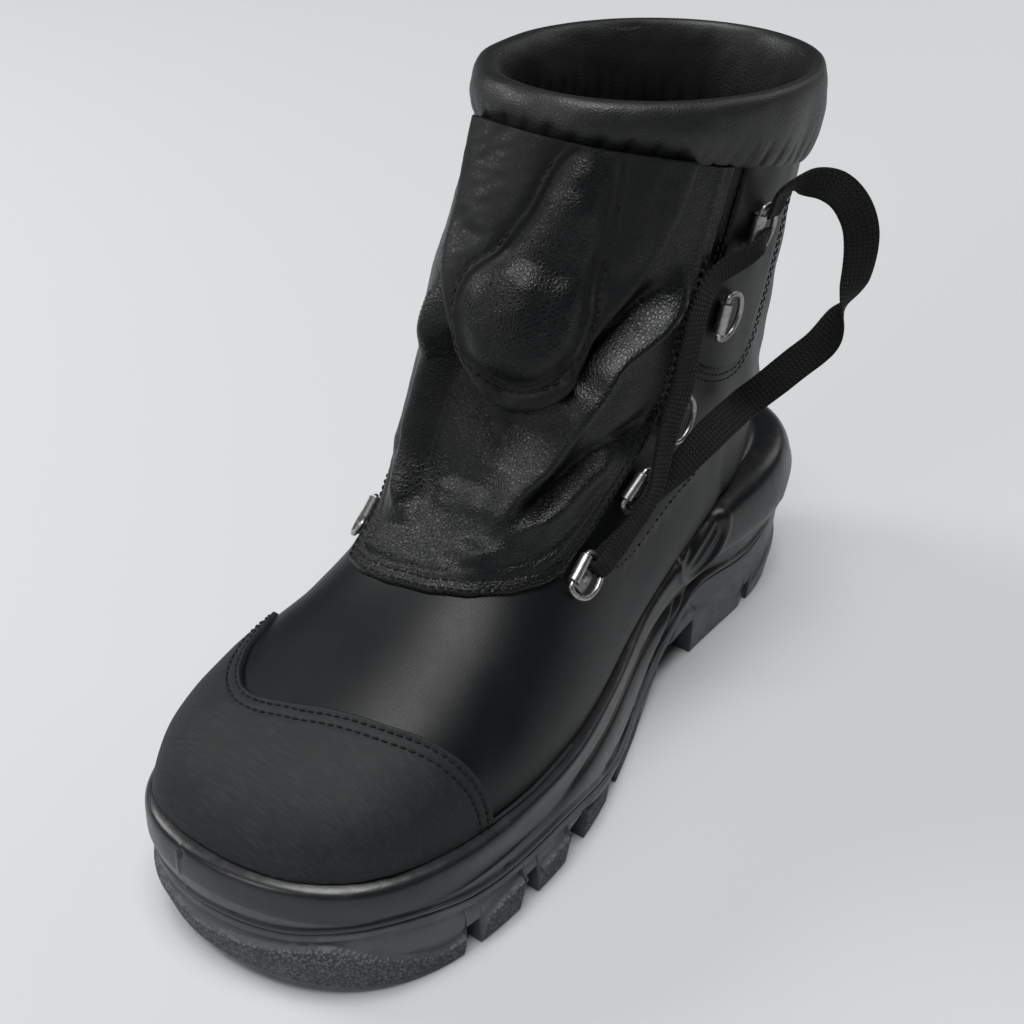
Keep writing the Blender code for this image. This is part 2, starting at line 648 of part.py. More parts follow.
def make_lace(name, route):
    """A flat lace through the route's rows: a six-sided section that keeps its face to the upper."""
    rows = spline(range(len(route)), route, np.linspace(0, len(route) - 1, 400))
    path = lifted(rows[:, 0], rows[:, 1], rows[:, 2])
    run = np.concatenate([[0], np.cumsum(np.linalg.norm(np.diff(path, axis=0), axis=1))])
    stops = np.linspace(0, run[-1], round(run[-1] / LACE_STEP) + 1)
    rows = np.column_stack([np.interp(stops, run, column) for column in rows.T])
    path = lifted(rows[:, 0], rows[:, 1], rows[:, 2])
    ahead = unit(np.gradient(path, axis=0))
    face = outward(rows[:, 0], rows[:, 1])
    face = unit(face - ahead * (face * ahead).sum(axis=1)[:, None])
    across = np.cross(ahead, face)
    turn = np.radians(rows[:, 3])[:, None]
    across, face = across * np.cos(turn) + face * np.sin(turn), face * np.cos(turn) - across * np.sin(turn)
    half_width, half_thickness = rows[:, 4:] / 2, LACE_THICKNESS / 2
    section = [(1, 0), (0.85, 1), (-0.85, 1), (-1, 0), (-0.85, -1), (0.85, -1)]
    points = np.stack([path + across * a * half_width + face * b * half_thickness for a, b in section], axis=1)
    points = points.reshape(-1, 3)
    sides = len(section)
    end = len(points) - sides
    faces = band_faces(len(path), sides) + [tuple(range(sides)), tuple(range(end, end + sides))]
    add_part(name, mesh_of(name, points, faces), "braid")


make_outsole()
make_midsole()
make_upper()
make_insole()
make_overlays()
make_lace_rings()
for name, route in LACES.items():
    make_lace(name, route)
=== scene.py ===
import math

import bmesh
import bpy
import numpy as np
from mathutils import Matrix, Vector


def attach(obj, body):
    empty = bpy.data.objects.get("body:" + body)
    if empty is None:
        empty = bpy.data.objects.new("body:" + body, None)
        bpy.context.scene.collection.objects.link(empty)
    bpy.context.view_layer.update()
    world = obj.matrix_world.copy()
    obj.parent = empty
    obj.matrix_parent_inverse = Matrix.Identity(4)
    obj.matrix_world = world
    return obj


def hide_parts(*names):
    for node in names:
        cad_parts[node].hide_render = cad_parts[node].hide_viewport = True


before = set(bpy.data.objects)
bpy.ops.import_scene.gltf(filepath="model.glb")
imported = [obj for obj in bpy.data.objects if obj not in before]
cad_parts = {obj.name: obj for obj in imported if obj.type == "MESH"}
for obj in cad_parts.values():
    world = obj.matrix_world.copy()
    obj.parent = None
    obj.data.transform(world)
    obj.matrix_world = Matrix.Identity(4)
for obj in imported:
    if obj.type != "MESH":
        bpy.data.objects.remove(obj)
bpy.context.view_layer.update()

MM = 0.001

# The room: a wide soft light overhead, three weak ones round the boot, and a pale surround that gives
# little light. The camera stands in front of the toe, to the outer side, above the collar.
AZIMUTH, ELEVATION, ROLL = (math.radians(degrees) for degrees in (39.39, 42.14, -2.24))
AIM = (0.00128, -0.02324, 0.0500)
DISTANCE = 0.49262
ROOM = (0.86, 0.88, 0.90)
LENS, SHIFT = 50.03, (0.0288, 0.131)
SURROUND_LIGHT, SURROUND_SEEN = 0.05, 0.66  # how bright the walls are as light, and as the camera sees them
LIGHTS = [
    # name, kind, place, size (metres, or degrees for the far one, which lights the whole floor), power
    ("overhead light", "SUN", (0.6, -0.5, 5.0), 32, 3.1),
    ("inner side light", "AREA", (-1.10, -0.45, 0.88), 0.55, 8),
    ("front light", "AREA", (-0.10, -1.20, 0.70), 0.5, 3),
    ("back light", "AREA", (0.30, 1.20, 0.80), 0.6, 2),
]

back = np.array([
    math.sin(AZIMUTH) * math.cos(ELEVATION), -math.cos(AZIMUTH) * math.cos(ELEVATION),
    math.sin(ELEVATION)])
level = np.array([math.cos(AZIMUTH), math.sin(AZIMUTH), 0])
upright = np.cross(back, level)
right = level * math.cos(ROLL) + upright * math.sin(ROLL)
up = upright * math.cos(ROLL) - level * math.sin(ROLL)
camera_data = bpy.data.cameras.new("camera")
camera_data.lens = LENS
camera_data.shift_x, camera_data.shift_y = SHIFT
camera = bpy.data.objects.new("camera", camera_data)
bpy.context.scene.collection.objects.link(camera)
camera.matrix_world = Matrix([
    [right[row], up[row], back[row], AIM[row] + back[row] * DISTANCE] for row in range(3)] + [[0, 0, 0, 1]])
bpy.context.scene.camera = camera

for name, kind, place, size, power in LIGHTS:
    lamp = bpy.data.lights.new(name, kind)
    lamp.energy = power
    if kind == "AREA":
        lamp.shape = "DISK"
        lamp.size = size
    else:
        lamp.angle = math.radians(size)
    light = bpy.data.objects.new(name, lamp)
    bpy.context.scene.collection.objects.link(light)
    light.location = place
    toward = Vector(AIM) - light.location
    light.rotation_euler = toward.to_track_quat("-Z", "Y").to_euler()
surround = bpy.data.worlds.new("surround")
surround.use_nodes = True
backdrop = surround.node_tree.nodes["Background"]
backdrop.inputs["Color"].default_value = (*ROOM, 1)
ray = surround.node_tree.nodes.new("ShaderNodeLightPath")
brightness = surround.node_tree.nodes.new("ShaderNodeMapRange")
brightness.inputs["To Min"].default_value = SURROUND_LIGHT
brightness.inputs["To Max"].default_value = SURROUND_SEEN
surround.node_tree.links.new(ray.outputs["Is Camera Ray"], brightness.inputs["Value"])
surround.node_tree.links.new(brightness.outputs["Result"], backdrop.inputs["Strength"])
bpy.context.scene.world = surround
bpy.context.scene.view_settings.view_transform = "Standard"


# Floor: a wide, plain, pale sheet, the ground that the boot stands on. It is the first thing made, so the
# helpers of every mesh and material come with it.
FLOOR_HALF, FLOOR_CELLS, FLOOR_DROP = 3000, 8, 0.02
WELD = 2e-6                   # metres within which two points are one
UV_NAME = "length and width"


def grid_faces(rows, columns, wrap=False, loop=False, first=0):
    """The four corners of each cell of a grid numbered row by row. Wrap joins its last column to its first,
    and loop its last row to its first."""
    row, column = np.meshgrid(
        np.arange(rows if loop else rows - 1), np.arange(columns if wrap else columns - 1), indexing="ij")
    row_start, next_start = row * columns, (row + 1) % rows * columns
    beside = (column + 1) % columns
    corners = [row_start + column, row_start + beside, next_start + beside, next_start + column]
    return first + np.stack(corners, axis=-1).reshape(-1, 4)


class Signal:
    """A number that varies over a surface. Python's operators on it add the Math nodes."""

    def __init__(self, socket):
        self.socket = socket

    def math(self, operation, *others):
        """A Math node on this value and others."""
        node = self.socket.id_data.nodes.new("ShaderNodeMath")
        node.operation = operation
        for place, value in zip(node.inputs, (self, *others)):
            feed(place, value)
        return Signal(node.outputs[0])

    def __add__(self, other):
        return self.math("ADD", other)

    def __sub__(self, other):
        return self.math("SUBTRACT", other)

    def __mul__(self, other):
        return self.math("MULTIPLY", other)

    def __rsub__(self, other):
        return self * -1 + other

    __radd__ = __add__
    __rmul__ = __mul__


def feed(socket, value):
    """Gives a socket a number, a colour, or what a node puts out."""
    if isinstance(value, Signal):
        socket.id_data.links.new(value.socket, socket)
    elif hasattr(value, "__len__") and len(value) == 3 and socket.type == "RGBA":
        socket.default_value = (*value, 1)
    else:
        socket.default_value = value


class Finish:
    """A procedural material: a Principled shader, and a method that adds any other node."""

    def __init__(self, name, **fixed):
        self.material = bpy.data.materials.new(name)
        self.material.use_nodes = True
        self.tree = self.material.node_tree
        self.shader = self.tree.nodes["Principled BSDF"]
        for socket, value in fixed.items():
            self.set(socket, value)
        self.here = self.node("TexCoord", output="Object")

    def set(self, socket, value):
        """One of the shader's own sockets, by a short name."""
        names = {"base": "Base Color", "specular": "Specular IOR Level", "sheen": "Sheen Weight"}
        feed(self.shader.inputs[names.get(socket, socket.replace("_", " ").title())], value)

    def node(self, kind, settings=None, sockets=None, output=0):
        """A node of that type: its settings first, then its sockets, by name or number."""
        node = self.tree.nodes.new("ShaderNode" + kind)
        for key, value in (settings or {}).items():
            if key == "stops":
                for element, (place, shade) in zip(node.color_ramp.elements, value):
                    element.position, element.color = place, (shade, shade, shade, 1)
            else:
                setattr(node, key, value)
        for key, value in (sockets or {}).items():
            feed(node.inputs[key], value)
        return Signal(node.outputs[output])

    def noise(self, size, detail=3, roughness=0.5, where=None):
        """Cloudy noise from 0 to 1 whose features are about `size` millimetres."""
        return self.node("TexNoise", None, {
            "Vector": where or self.here, "Scale": 1 / (size * MM), "Detail": detail,
            "Roughness": roughness})

    def cells(self, size, feature="F1", where=None, smoothness=None):
        """Pebbles of about `size` millimetres: the distance to the nearest centre, or to the edge."""
        sockets = {"Vector": where or self.here, "Scale": 1 / (size * MM)}
        if smoothness is not None:
            sockets["Smoothness"] = smoothness
        return self.node("TexVoronoi", {"feature": feature}, sockets)

    def mark(self, name):
        """What the mesh says about this place, such as how worn or how deep it is."""
        return self.node("Attribute", {"attribute_name": name}, output="Fac")

    def fade(self, value, low, high):
        """0 below low, 1 above high, smooth between."""
        sockets = {"Value": value, "From Min": low, "From Max": high}
        return self.node("MapRange", {"interpolation_type": "SMOOTHSTEP"}, sockets)

    def blend(self, share, first, second):
        """One colour turning into another."""
        sockets = {"Factor": share, 6: first, 7: second}
        return self.node("Mix", {"data_type": "RGBA"}, sockets, output=2)

    def relief(self, height, distance, under=None, strength=1.0):
        """A bump of `distance` millimetres, on top of another one."""
        sockets = {"Height": height, "Distance": distance * MM, "Strength": strength}
        if under:
            sockets["Normal"] = under
        return self.node("Bump", None, sockets)


def add_piece(
        name, points, faces, finish, body="boot", marks=None, uv=None, weld=True, sharp=50, lining=None):
    """A piece from points in millimetres: welded, its faces turned outwards, and shaded smooth but for
    edges over `sharp` degrees. Lining is a second finish, and which faces have it."""
    mesh = bpy.data.meshes.new(name)
    points = np.asarray(points, float).reshape(-1, 3) * MM
    mesh.from_pydata(points.tolist(), [], [list(face) for face in faces])
    for mark, values in (marks or {}).items():
        layer = mesh.attributes.new(mark, "FLOAT", "POINT")
        layer.data.foreach_set("value", np.asarray(values, np.float32).ravel())
    if uv is not None:
        corners = np.empty(len(mesh.loops), int)
        mesh.loops.foreach_get("vertex_index", corners)
        layer = mesh.uv_layers.new(name=UV_NAME)
        layer.data.foreach_set("uv", uv.reshape(-1, 2)[corners].ravel())
    mesh.materials.append(finish.material)
    if lining:
        second, inside = lining
        mesh.materials.append(second.material)
        mesh.polygons.foreach_set("material_index", np.asarray(inside, np.int32))
    if weld:
        shape = bmesh.new()
        shape.from_mesh(mesh)
        bmesh.ops.remove_doubles(shape, verts=shape.verts, dist=WELD)
        bmesh.ops.recalc_face_normals(shape, faces=shape.faces)
        shape.to_mesh(mesh)
        shape.free()
    mesh.shade_smooth()
    if sharp:
        mesh.set_sharp_from_angle(angle=math.radians(sharp))
    piece = bpy.data.objects.new(name, mesh)
    bpy.context.scene.collection.objects.link(piece)
    if body:
        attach(piece, body)
    return piece


floor_finish = Finish("pale floor", base=(0.51, 0.52, 0.53), specular=0.2)
floor_finish.set("roughness", floor_finish.noise(40, 3) * 0.1 + 0.8)
floor_line = np.linspace(-FLOOR_HALF, FLOOR_HALF, FLOOR_CELLS + 1)
floor_x, floor_y = np.meshgrid(floor_line, floor_line)
floor_points = np.stack([floor_x, floor_y, np.full(floor_x.shape, -FLOOR_DROP)], axis=-1)
floor = add_piece("floor", floor_points, grid_faces(*floor_x.shape), floor_finish, body=None, weld=False)


# Rubber outsole: one moulding of dark grey rubber. Its lugs have crumbed faces under smooth hollows, deep
# gaps part them at the sides, and the arch and toe lift off the floor. The foam is cast onto its top.

def spline(knots, values, at):
    """Natural cubic spline through values at knots, read at the places `at`."""
    knots = np.asarray(knots, float)
    values = np.asarray(values, float).reshape(len(knots), -1)
    gaps = np.diff(knots)
    slopes = np.diff(values, axis=0) / gaps[:, None]
    system = np.eye(len(knots))
    bends = np.zeros_like(values)
    for k in range(1, len(knots) - 1):
        system[k, k - 1:k + 2] = gaps[k - 1], 2 * (gaps[k - 1] + gaps[k]), gaps[k]
        bends[k] = 6 * (slopes[k] - slopes[k - 1])
    bends = np.linalg.solve(system, bends)
    at = np.asarray(at, float)
    k = np.clip(np.searchsorted(knots, at, side="right") - 1, 0, len(gaps) - 1)
    gap = gaps[k, None]
    after = (at - knots[k])[:, None] / gap
    before = 1 - after
    curve = before * values[k] + after * values[k + 1]
    return curve + gap ** 2 / 6 * ((before ** 3 - before) * bends[k] + (after ** 3 - after) * bends[k + 1])


def unit(vectors):
    return vectors / np.linalg.norm(vectors, axis=-1, keepdims=True)


def ease(low, high, value):
    """0 below low, 1 above high, and a smooth s-curve between."""
    share = np.clip((value - low) / (high - low), 0, 1)
    return share * share * (3 - 2 * share)


def hill(middle, half_width, value):
    """A rounded bump: 1 at the middle, 0 beyond the half width."""
    return (1 - np.clip(np.abs(value - middle) / half_width, 0, 1) ** 2) ** 2


def read(table, at):
    """A table of two columns, read between its rows."""
    knots, values = zip(*table)
    return np.interp(at, knots, values)


def smoothed(ring, half):
    """Each value of a closed ring as the mean of itself and `half` neighbours on both sides."""
    window = 2 * half + 1
    return np.convolve(np.concatenate([ring[-half:], ring, ring[:half]]), np.ones(window) / window, "valid")


OUTLINE = [
    # station, along y, inner side x, outer side x
    ("toe tip", -152.5, -11, -11),
    ("toe corner", -147, -36, 18),
    ("toe side", -131, -51, 41),
    ("toe cap", -106, -58, 54),
    ("ball", -76, -58, 58.5),
    ("joint", -44, -53, 58.5),
    ("forepart", -10, -44.5, 52.5),
    ("waist front", 20, -37, 43.5),
    ("waist", 50, -35, 38),
    ("heel front", 85, -38, 38),
    ("heel", 116, -36, 38),
    ("heel corner", 140.5, -24, 27),
    ("heel tip", 152.5, 2, 2),
]
STATIONS = (-152, -70, 30, 105, 152)
SOLE_LINES = {
    # line: (out at toe, ball, waist, heel), (height at toe, ball, waist, heel)
    "tread": ((-4, -2.5, -3, -3), (0, 0, 0, 0)),
    "lug top": ((0, 0, -1.5, -1), (22, 15, 20, 14)),
    "rubber top": ((-2, -1.5, -2.5, 0), (31, 25, 29, 31)),
    "foam low": ((-1.6, -2.0, -2.6, 0), (37, 31, 32.5, 38)),
    "foam groove": ((-1.2, -2.6, -6.0, 1), (40, 33.5, 36, 41.5)),
    "foam side": ((-1, -3, -3.6, 2), (43, 35, 39.5, 46)),
    "foam shoulder": ((-1.5, -3, -3.6, 1.5), (49, 41, 45, 55)),
    "bead": ((-4, -4.5, -5, -2), (53, 45, 48.5, 63)),
    "bead inside": ((-12, -12, -12, -11), (54, 46, 49.5, 65)),
}
# Where the foam meets the rubber, and where the crumbed lug faces end, as (y, z) along the side.
RUBBER_EDGE = [
    (-153, 31), (-145, 32), (-139, 33.5), (-127, 34), (-118, 33), (-109, 31), (-98, 28), (-85, 26),
    (-70, 25.5), (-54, 25), (-40, 22), (-30, 18), (-20, 14.5), (-6, 12.5), (5, 13.5), (15, 16.5), (26, 20),
    (43, 25), (54, 31), (62, 35.5), (72, 34.5), (87, 31.5), (99, 31.5), (108, 35.5), (118, 43), (130, 49),
    (153, 52),
]
CRUMB_EDGE = [
    (-153, 22.5), (-148, 24.5), (-142, 27), (-138, 26.5), (-132, 23), (-126, 19), (-120, 15), (-113, 11.5),
    (-107, 9.5), (-100.5, 11), (-97, 10), (-93, 13.5), (-84, 17), (-75, 17.5), (-71, 12), (-66, 13.5),
    (-50, 15.5), (-44, 10), (-38, 12.5), (-29, 13), (-19, 12), (-15, 8), (-10, 9), (12, 11), (28, 14),
    (40, 17), (45, 19.5), (51, 26), (58, 26), (66, 24), (79, 16.5), (96, 7.5), (103, 7), (108, 10),
    (120, 18), (153, 20),
]
# the underside's height off the floor, as (y, z)
TOE_AND_ARCH = [
    (-152.5, 8), (-135, 4), (-115, 1), (-99.7, 0), (12, 0), (24, 6), (30, 12), (36, 17), (44, 19.5),
    (62, 19.5), (64.6, 0), (152.5, 0),
]
NOTCHES = [
    # gap between lugs: middle y, width, height at the side, depth from the side, height across the tread
    (-97, 6, 14, 12, 5),
    (-71, 8.5, 15, 13, 5),
    (-44.5, 11.4, 14, 13, 5),
    (-15, 9, 9, 12, 5),
    (103, 5, 10, 9, 4),
]
GROOVES = [
    # lengthwise groove of the tread: low x, high x, low y, high y, height
    (-22, -17, -125, -8, 4.6),
    (17, 22, -125, -8, 4.6),
    (-3, 3, 72, 138, 4.6),
    (-16, -10, 142, 170, 12),
    (10, 16, 142, 170, 12),
]
SOLE_COLUMNS, SOLE_ACROSS, SIDE_ROWS = 500, 88, 46  # points along each side, across the tread, up the side
GAP_SOFTNESS = 0.35         # how gently the walls of a gap or groove begin
SIPE_PITCH, SIPE_SLANT, SIPE_HEIGHT, SIPE_HALF = 9, 22, 1.6, 0.11
EDGE_ROUNDING = 0.9         # round the tread's edge
HOLLOW, FOREFOOT_HOLLOW = 0.9, 1.1  # the smooth hollow over the crumbed faces, and how much more in front
CRUMB_ROUGHNESS = 0.16


def sole_outline(count):
    """Points and outward directions round OUTLINE's spline, `count` on each side, starting at the toe."""
    ring = [(row[3], row[1]) for row in OUTLINE][:-1] + [(row[2], row[1]) for row in OUTLINE][:0:-1]
    wrap = 4
    knots = np.arange(-wrap, len(ring) + wrap)
    points = np.array([ring[k % len(ring)] for k in knots])
    places = np.linspace(0, len(ring), 2 * count, endpoint=False)
    here = spline(knots, points, places)
    forward = unit(spline(knots, points, places + 0.01) - here)
    return here, np.column_stack([forward[:, 1], -forward[:, 0]])


def at_stations(values, y):
    """A value given at the toe, ball, waist and heel, read at y."""
    return spline(STATIONS, (*values, values[-1]), y)[:, 0]


def tread_height(x, y, low_x, high_x):
    """Height of the underside: toe spring and arch, raised in the gaps, the grooves and the fine sipes."""
    height = read(TOE_AND_ARCH, y)
    soft = GAP_SOFTNESS
    sipe = hill(0, SIPE_HALF, (y / SIPE_PITCH + np.abs(x) / SIPE_SLANT) % 1 - 0.5)
    height = height + SIPE_HEIGHT * sipe * (np.abs(x) < 15) * (y < -12) * (y > -122)
    for middle, width, side_height, depth, across_height in NOTCHES:
        gap = ease(-soft, soft, y - middle + width / 2) - ease(-soft, soft, y - middle - width / 2)
        inside = np.minimum(high_x - x, x - low_x)
        near_side = 1 - ease(depth - 2.5, depth + 1, inside)
        height = np.maximum(height, gap * (across_height + (side_height - across_height) * near_side))
    for near, far, low, high, depth in GROOVES:
        channel = ease(near - soft, near + soft, x) * (1 - ease(far - soft, far + soft, x))
        height = np.maximum(height, channel * (y > low) * (y < high) * depth)
    return height


side_points, side_out = sole_outline(SOLE_COLUMNS)
side_y = side_points[:, 1]
sole_out = {line: at_stations(values[0], side_y) for line, values in SOLE_LINES.items()}
sole_height = {line: at_stations(values[1], side_y) for line, values in SOLE_LINES.items()}
rubber_edge = smoothed(read(RUBBER_EDGE, side_y), 6)
crumb_edge = read(CRUMB_EDGE, side_y)

# the underside, in rows that run straight across from the outer edge to the inner one
order = np.arange(SOLE_COLUMNS + 1)
tread_edge = side_points + side_out * (sole_out["tread"] - EDGE_ROUNDING)[:, None]
outer_edge, inner_edge = tread_edge[order], tread_edge[-order]
across = np.linspace(0, 1, SOLE_ACROSS)[None, :, None]
under = outer_edge[:, None] * (1 - across) + inner_edge[:, None] * across
low_x, high_x = inner_edge[:, None, 0], outer_edge[:, None, 0]
under_z = tread_height(under[..., 0], under[..., 1], low_x, high_x)
edge_z = np.concatenate([under_z[:, 0], under_z[1:-1, -1][::-1]])

# the side, from the underside's edge up to the foam
rise = np.concatenate([
    np.linspace(0, 0.07, 6), np.linspace(0.1, 0.93, SIDE_ROWS - 12), np.linspace(0.955, 1, 6)])[:, None]
side_z = edge_z + (rubber_edge - edge_z) * rise
to_lug = np.clip(side_z / sole_height["lug top"], 0, 1)
to_top = ease(sole_height["lug top"], np.maximum(rubber_edge, sole_height["lug top"] + 3), side_z)
out = sole_out["tread"] + (sole_out["lug top"] - sole_out["tread"]) * to_lug
out = out + (sole_out["rubber top"] - sole_out["lug top"]) * to_top
forefoot = 1 - ease(8, 30, side_y)
hollow = ease(crumb_edge - 0.5, crumb_edge + 0.9, side_z)
hollow = hollow * (1 - ease(rubber_edge - 5.5, rubber_edge - 2.5, side_z))
out = out - hollow * (HOLLOW + FOREFOOT_HOLLOW * forefoot)
rim = hill(rubber_edge - 3.6, 0.5, side_z) * (side_y < -70)
out = out - 0.35 * rim
above_edge = side_z - edge_z
out = out - EDGE_ROUNDING * (1 - np.clip(above_edge / EDGE_ROUNDING, 0, 1)) ** 2
out = out - 1.1 * ease(rubber_edge - 0.9, rubber_edge, side_z) ** 2
in_gap = np.zeros(len(side_y))
for middle, width, *_ in NOTCHES:
    in_gap = np.maximum(in_gap, ease(-width / 2 - 1.2, -width / 2, -np.abs(side_y - middle)))
crumb = (1 - ease(crumb_edge - 0.8, crumb_edge + 0.2, side_z)) * (1 - in_gap) * (1 - ease(14, 22, side_y))
crumb = crumb * ease(0.8, 2.2, above_edge)
rng = np.random.default_rng(7)
out = out + crumb * rng.uniform(-CRUMB_ROUGHNESS, CRUMB_ROUGHNESS, crumb.shape)
side_grid = np.concatenate([side_points + side_out * out[..., None], side_z[..., None]], axis=-1)
under_grid = np.concatenate([under, under_z[..., None]], axis=-1)
under_grid[:, 0], under_grid[:, -1] = side_grid[0][order], side_grid[0][-order]
# the top, hidden under the foam, with few points across
top_across = across[:, ::29]
top_grid = side_grid[-1][order][:, None] * (1 - top_across) + side_grid[-1][-order][:, None] * top_across
points, faces, first = [], [], 0
for grid, wrap in ((side_grid, True), (under_grid, False), (top_grid, False)):
    points.append(grid.reshape(-1, 3))
    faces.append(grid_faces(*grid.shape[:2], wrap=wrap, first=first))
    first += grid.shape[0] * grid.shape[1]
crumb_mark = np.concatenate([crumb.ravel(), np.zeros(first - crumb.size)])
dirt_mark = np.concatenate([(hollow * (0.4 + 0.6 * forefoot)).ravel(), np.full(first - crumb.size, 0.3)])

rubber = Finish("dark grey rubber", specular=0.45)
crumbed = rubber.mark("crumb")
worn = rubber.fade(rubber.noise(14, 4, 0.6), 0.42, 0.68)
smear = rubber.fade(rubber.noise(5, 5, 0.65), 0.48, 0.75)
dust = worn * 0.5 + rubber.mark("dirt") * 0.35 + smear * 0.15
dusty = rubber.blend(dust, (0.042, 0.046, 0.050), (0.095, 0.101, 0.108))
grains = rubber.cells(1.15, "SMOOTH_F1", smoothness=0.4)
# the crumbs are a paler speckle on their tops, with painted shade darkening the pits between them
pit_shade = rubber.fade(grains, 0.25, 0.6)
crumb_specks_and_pit_shade = rubber.blend(pit_shade, (0.126, 0.132, 0.139), (0.032, 0.035, 0.038))
rubber.set("base", rubber.blend(crumbed * 0.85, dusty, crumb_specks_and_pit_shade))
rubber.set("roughness", 0.46 + crumbed * 0.32 + smear * 0.12 - worn * 0.05)
rough = rubber.relief((1 - grains) * crumbed, 0.55)
rubber.set("normal", rubber.relief(rubber.noise(0.5, 3), 0.05, rough))
outsole = add_piece(
    "rubber_outsole", np.concatenate(points), np.concatenate(faces), rubber,
    marks={"crumb": crumb_mark, "dirt": dirt_mark}, sharp=42)
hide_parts("outsole")


# Foam midsole: black foam cast round the lasted upper. It has a rolled bead along the leather, a crescent
# groove at the waist, a wrap round the heel with an oval hollow on each side, and a mould seam at the toe.
FOAM_ROWS = 60
OVAL = (66, 53.5, 15.5, 10.5, math.radians(28))      # middle y and z, half length, half height, tilt
OVAL_DEPTH, RIB_HEIGHT, RIB_DENSITY, OVAL_RIM = 1.3, 0.45, 13, 0.5
CRESCENT = [
    # the groove's sharp edge, as (y, z) along the side
    (-30, 19), (-20, 20), (-14, 20.5), (-3, 19), (10, 19.5), (19, 22), (27, 25.5), (37, 29), (45, 33),
    (54, 38.5),
]
CRESCENT_DEPTH, BELOW_CRESCENT, ABOVE_CRESCENT = 2.6, 2.6, 0.8
SEAM_X, SEAM_HEIGHT, SEAM_DENT, TOE_Y = -16, 0.35, 0.9, -140
LIP_SHARES = (0.12, 0.28, 0.46, 0.66, 0.86, 1.0)     # rows of the lip's inner side, from its crest in
# The foam is cast against the upper, so the upper's form comes here: rounded sections in millimetres,
# numbered by `along` from the toe to the collar, with `around` running from 0 at the back and underneath
# by the outer side to 0.5 at the ridge and on by the inner side to 1.
UPPER = [
    # section, ridge y, ridge z, base y, base z, inner half width, outer half width,
    # height of the widest point (share), crown roundness, base roundness, ridge x, base x
    ("tip", -146, 46, -146, 46, 0, 0, 0.50, 2.0, 2.0, -11, -11),
    ("toe", -144.3, 55.5, -144.7, 38, 15, 15, 0.50, 2.1, 2.3, -10.5, -10.5),
    ("cap front", -139.5, 64, -141, 33.5, 26.5, 26.5, 0.48, 2.2, 2.6, -9.5, -8.6),
    ("cap", -130.5, 71.5, -134, 31, 36, 36.5, 0.46, 2.3, 2.9, -8, -6),
    ("cap middle", -117, 78, -121.5, 30, 44.5, 45, 0.43, 2.35, 3.1, -6, -3.5),
    ("cap back", -100, 83, -104, 29, 49.5, 49.5, 0.40, 2.35, 3.2, -4.5, -2),
    ("ball", -80, 89, -83, 28.5, 51.5, 51.5, 0.38, 2.25, 3.2, -3, 0),
    ("vamp", -58, 96.5, -58, 29, 50, 51, 0.36, 2.15, 3.2, -2, 1.8),
    ("instep", -38, 108.5, -30, 31, 48, 47.5, 0.34, 2.05, 3.2, -2, 3.3),
    ("high instep", -27, 122.5, 0, 35, 47.5, 42, 0.33, 2.05, 3.1, -2, 4),
    ("throat", -22, 137, 38, 39.5, 47, 38, 0.36, 2.1, 2.9, -2, 2.2),
    ("ankle", -20, 150, 80, 44, 46.5, 37.5, 0.44, 2.2, 2.7, -1, 1),
    ("heel", -19.5, 163, 117, 47, 45.5, 37, 0.50, 2.2, 2.2, 0, 1),
    ("heel back", -19, 175, 135, 62, 44, 36.5, 0.52, 2.2, 2.05, 0, 0),
    ("low shaft", -15, 187, 136, 92, 42.5, 37, 0.52, 2.1, 2.0, 0, 0),
    ("shaft", -6, 200, 135, 124, 42.5, 38.5, 0.50, 2.05, 2.0, 0, 0),
    ("high shaft", 4, 214, 136, 160, 43, 40.5, 0.50, 2.05, 2.0, 0, 0),
    ("collar", 12, 230, 139, 208, 44.5, 43, 0.50, 2.05, 2.0, 0, 0),
]
LAST_ROW = len(UPPER) - 1
GAP = 0.35                  # between the upper and the leather or foam over it


def surface(along, around):
    """Points of the upper's outside. Each section is a superellipse between its ridge and its base point:
    |side| ** (2 / roundness) out to the half width, and the same for the rise above and below the belly."""
    along, around = np.broadcast_arrays(np.asarray(along, float), np.asarray(around, float))
    numbers = spline(range(len(UPPER)), [row[1:] for row in UPPER], along.ravel()).T
    ridge_y, ridge_z, base_y, base_z, inner, outer, belly, crown, foot, ridge_x, base_x = numbers
    angle = 2 * math.pi * around.ravel() - math.pi / 2
    side, lift = np.cos(angle), np.sin(angle)
    power = 2 / np.where(lift >= 0, crown, foot)
    reach = np.where(lift >= 0, 1 - belly, belly)
    share = belly + reach * np.sign(lift) * np.abs(lift) ** power
    x = np.where(side >= 0, outer, inner) * np.sign(side) * np.abs(side) ** power
    x = x + ridge_x * share + base_x * (1 - share)
    y = base_y + (ridge_y - base_y) * share
    z = base_z + (ridge_z - base_z) * share
    return np.stack([x, y, z], axis=-1).reshape(*along.shape, 3)


def slopes(along, around):
    """How the surface moves with `along` and with `around`."""
    step = 0.002
    low = np.clip(along, 0.05, LAST_ROW - step)      # the tip is a point, with no direction of its own
    ahead = (surface(low + step, around) - surface(low - step, around)) / (2 * step)
    beside = (surface(low, around + step) - surface(low, around - step)) / (2 * step)
    return ahead, beside


def outward(along, around):
    """Unit directions out of the upper."""
    along, around = np.broadcast_arrays(np.asarray(along, float), np.asarray(around, float))
    normal = unit(np.cross(*slopes(along, around)))
    return np.where((along < 0.04)[..., None], np.array([0.0, -1.0, 0.0]), normal)


def lifted(along, around, out):
    """Points at a distance `out` from the upper's outside."""
    return surface(along, around) + outward(along, around) * np.asarray(out, float)[..., None]


